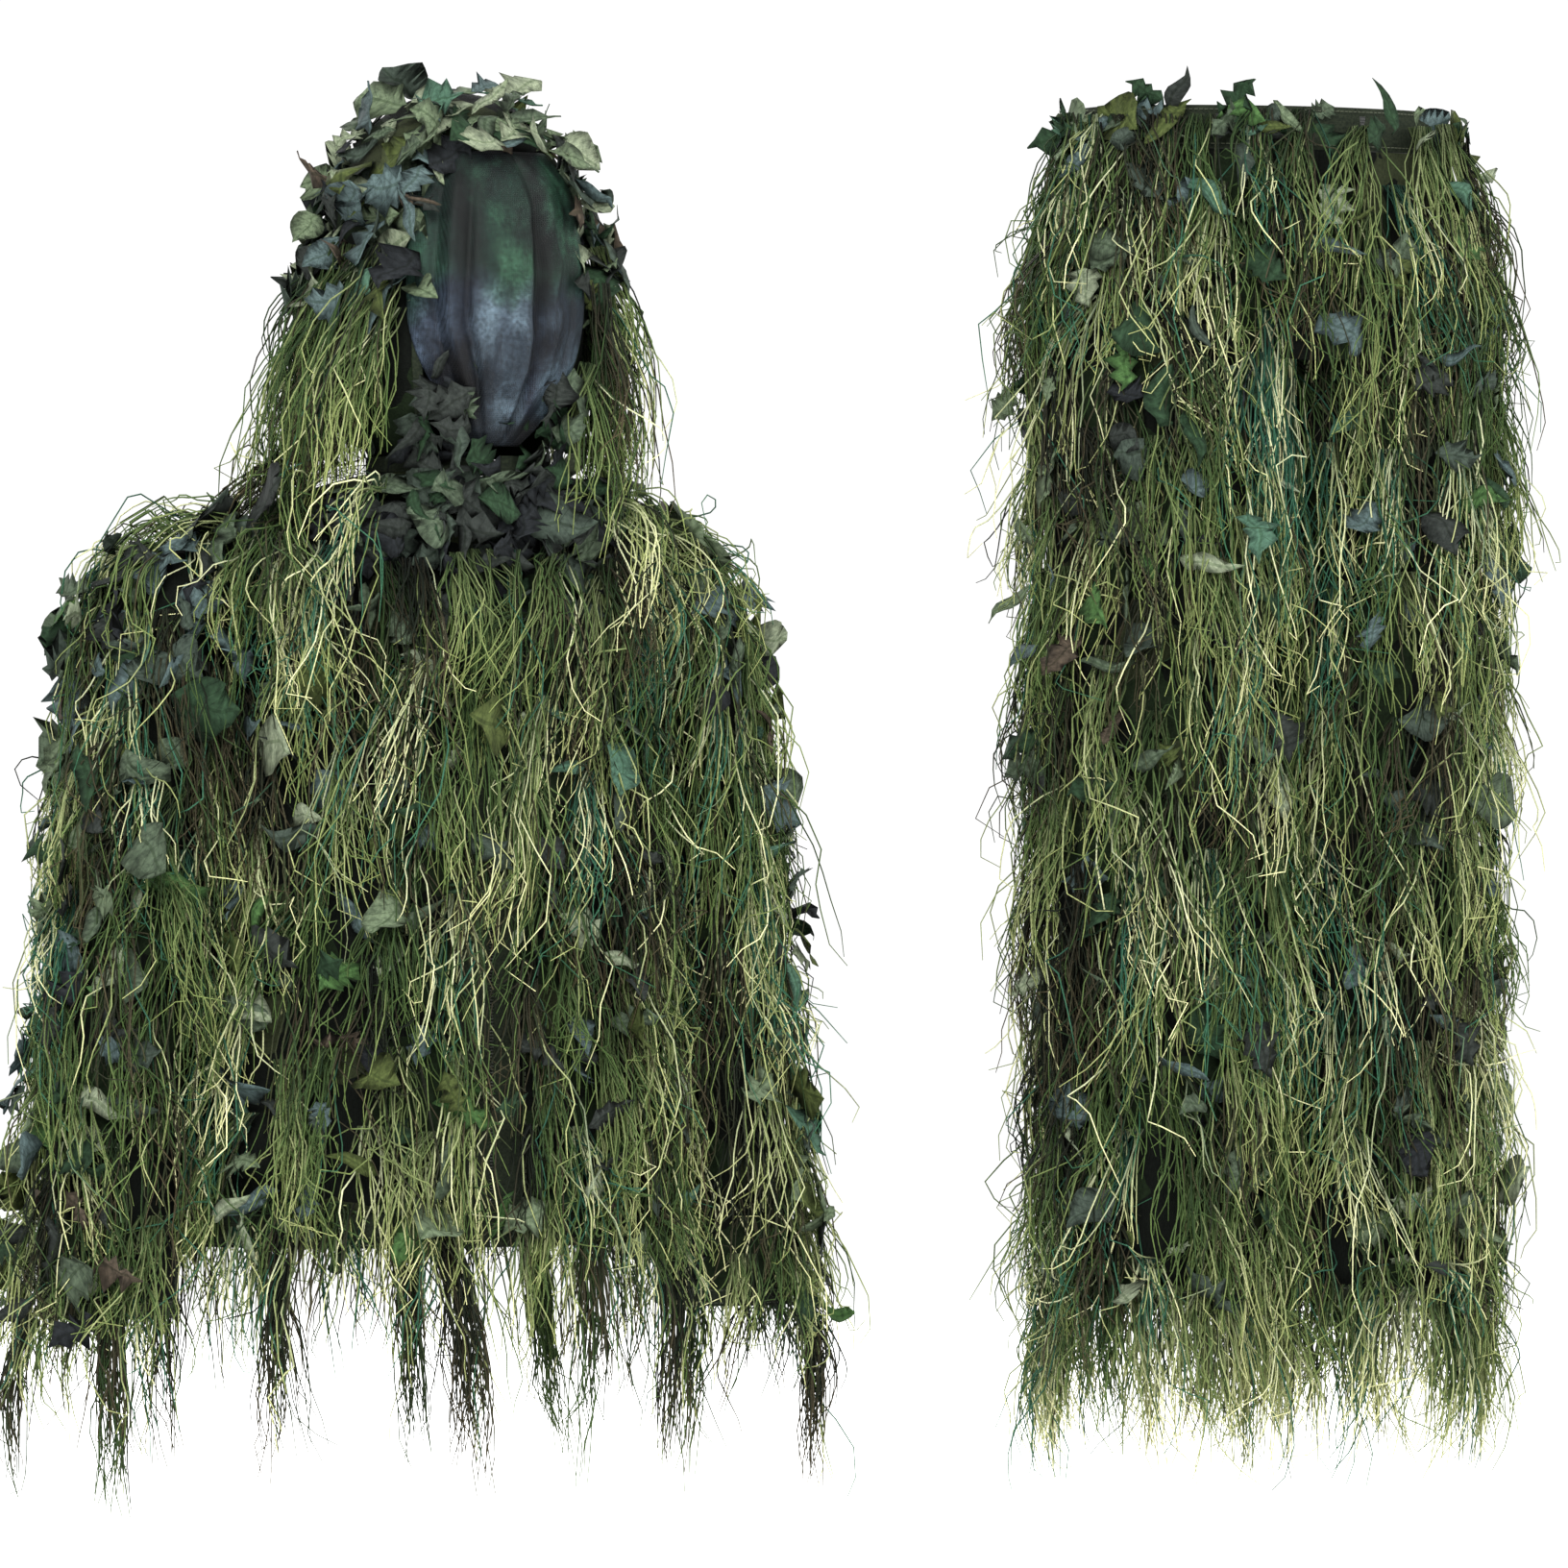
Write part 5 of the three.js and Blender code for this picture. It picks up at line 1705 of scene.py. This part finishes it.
# where each light stands from the view's middle, and its part of the key light's power
LIGHTS = {
    "key_light": ((-2.6, -3.6, 2.6), 1.0),
    "fill_light": ((3.4, -2.6, 1.2), 0.4),
    "back_light": ((0.6, 4.2, 2.4), 0.6),
}
LIGHT_SIZE = 3.0


def floor_material():
    settings = bpy.context.scene.ghillie_stage

    def build(graph, shader):
        grain = graph.noise(object_place(graph), 30.0, 2.0)["Fac"]
        colour = Vector(settings.floor_colour)
        surface(graph, shader, ramp(graph, grain, [(0.3, colour * 0.99), (0.7, colour)]), 0.9, 0.1)
    return paint("pale_floor", build)


class GHILLIE_OT_stage(bpy.types.Operator):
    """Set the camera, the floor and the lights"""
    bl_idname = "ghillie.stage"
    bl_label = "Stage"

    def execute(self, context):
        settings = context.scene.ghillie_stage
        aim = Vector((settings.aim_sideways, 0, settings.aim_height))
        self.camera(context, settings, aim)
        self.floor(settings)
        for name, (offset, share) in LIGHTS.items():
            self.light(context, name, aim, Vector(offset), settings.key_power * share)
        world = context.scene.world or bpy.data.worlds.new("sky")
        context.scene.world = world
        world.use_nodes = True
        back = world.node_tree.nodes["Background"]
        back.inputs["Color"].default_value = (1, 1, 1, 1)
        back.inputs["Strength"].default_value = settings.sky
        context.scene.view_settings.view_transform = "Standard"
        return {"FINISHED"}

    def camera(self, context, settings, aim):
        """A camera level with its aim, which takes in the view width there."""
        away = Vector((-math.sin(settings.turn), -math.cos(settings.turn), 0))
        camera = bpy.data.objects.new("camera", bpy.data.cameras.new("camera"))
        camera.data.lens = camera.data.sensor_width * settings.distance / settings.view_width
        camera.data.clip_end = 200
        camera.location = aim + away * settings.distance
        camera.rotation_euler = (-away).to_track_quat("-Z", "Y").to_euler()
        context.collection.objects.link(camera)
        context.scene.camera = camera

    def floor(self, settings):
        half = settings.floor_size / 2
        z = cad_box[0].z - settings.floor_drop
        mesh = bpy.data.meshes.new("floor")
        corners = [(-half, -half, z), (half, -half, z), (half, half, z), (-half, half, z)]
        mesh.from_pydata(corners, [], [(0, 1, 2, 3)])
        mesh.materials.append(floor_material())
        add_piece("floor", mesh)

    def light(self, context, name, aim, offset, power):
        """A large soft light that looks at the suit."""
        lamp = bpy.data.objects.new(name, bpy.data.lights.new(name, "AREA"))
        lamp.data.size = LIGHT_SIZE
        lamp.data.energy = power
        lamp.location = aim + offset
        lamp.rotation_euler = (-offset).to_track_quat("-Z", "Y").to_euler()
        context.collection.objects.link(lamp)


# ---------------------------------------------------------------- panel and registration

OPERATORS = (
    GHILLIE_OT_stage,
    GHILLIE_OT_jacket_cloth,
    GHILLIE_OT_hood_cloth,
    GHILLIE_OT_trouser_cloth,
    GHILLIE_OT_veil,
    GHILLIE_OT_jacket_yarn,
    GHILLIE_OT_trouser_yarn,
    GHILLIE_OT_leaves,
    GHILLIE_OT_zip,
    GHILLIE_OT_stitching,
)


class GHILLIE_PT_suit(bpy.types.Panel):
    """The steps that build the suit, and their sizes"""
    bl_idname = "GHILLIE_PT_suit"
    bl_label = "Ghillie Suit"
    bl_space_type = "VIEW_3D"
    bl_region_type = "UI"
    bl_category = "Ghillie"

    def draw(self, context):
        for operator in OPERATORS:
            self.layout.operator(operator.bl_idname)
        for name, group in SETTINGS.items():
            box = self.layout.box()
            box.label(text=group.__doc__)
            for key in group.__annotations__:
                box.prop(getattr(context.scene, name), key)


CLASSES = (*SETTINGS.values(), *OPERATORS, GHILLIE_PT_suit)


def register():
    for cls in CLASSES:
        bpy.utils.register_class(cls)
    for name, group in SETTINGS.items():
        setattr(bpy.types.Scene, name, bpy.props.PointerProperty(type=group))


def unregister():
    for name in SETTINGS:
        delattr(bpy.types.Scene, name)
    for cls in reversed(CLASSES):
        bpy.utils.unregister_class(cls)


def main():
    register()
    for operator in OPERATORS:
        area, step = operator.bl_idname.split(".")
        getattr(getattr(bpy.ops, area), step)()


if __name__ == "__main__":
    main()
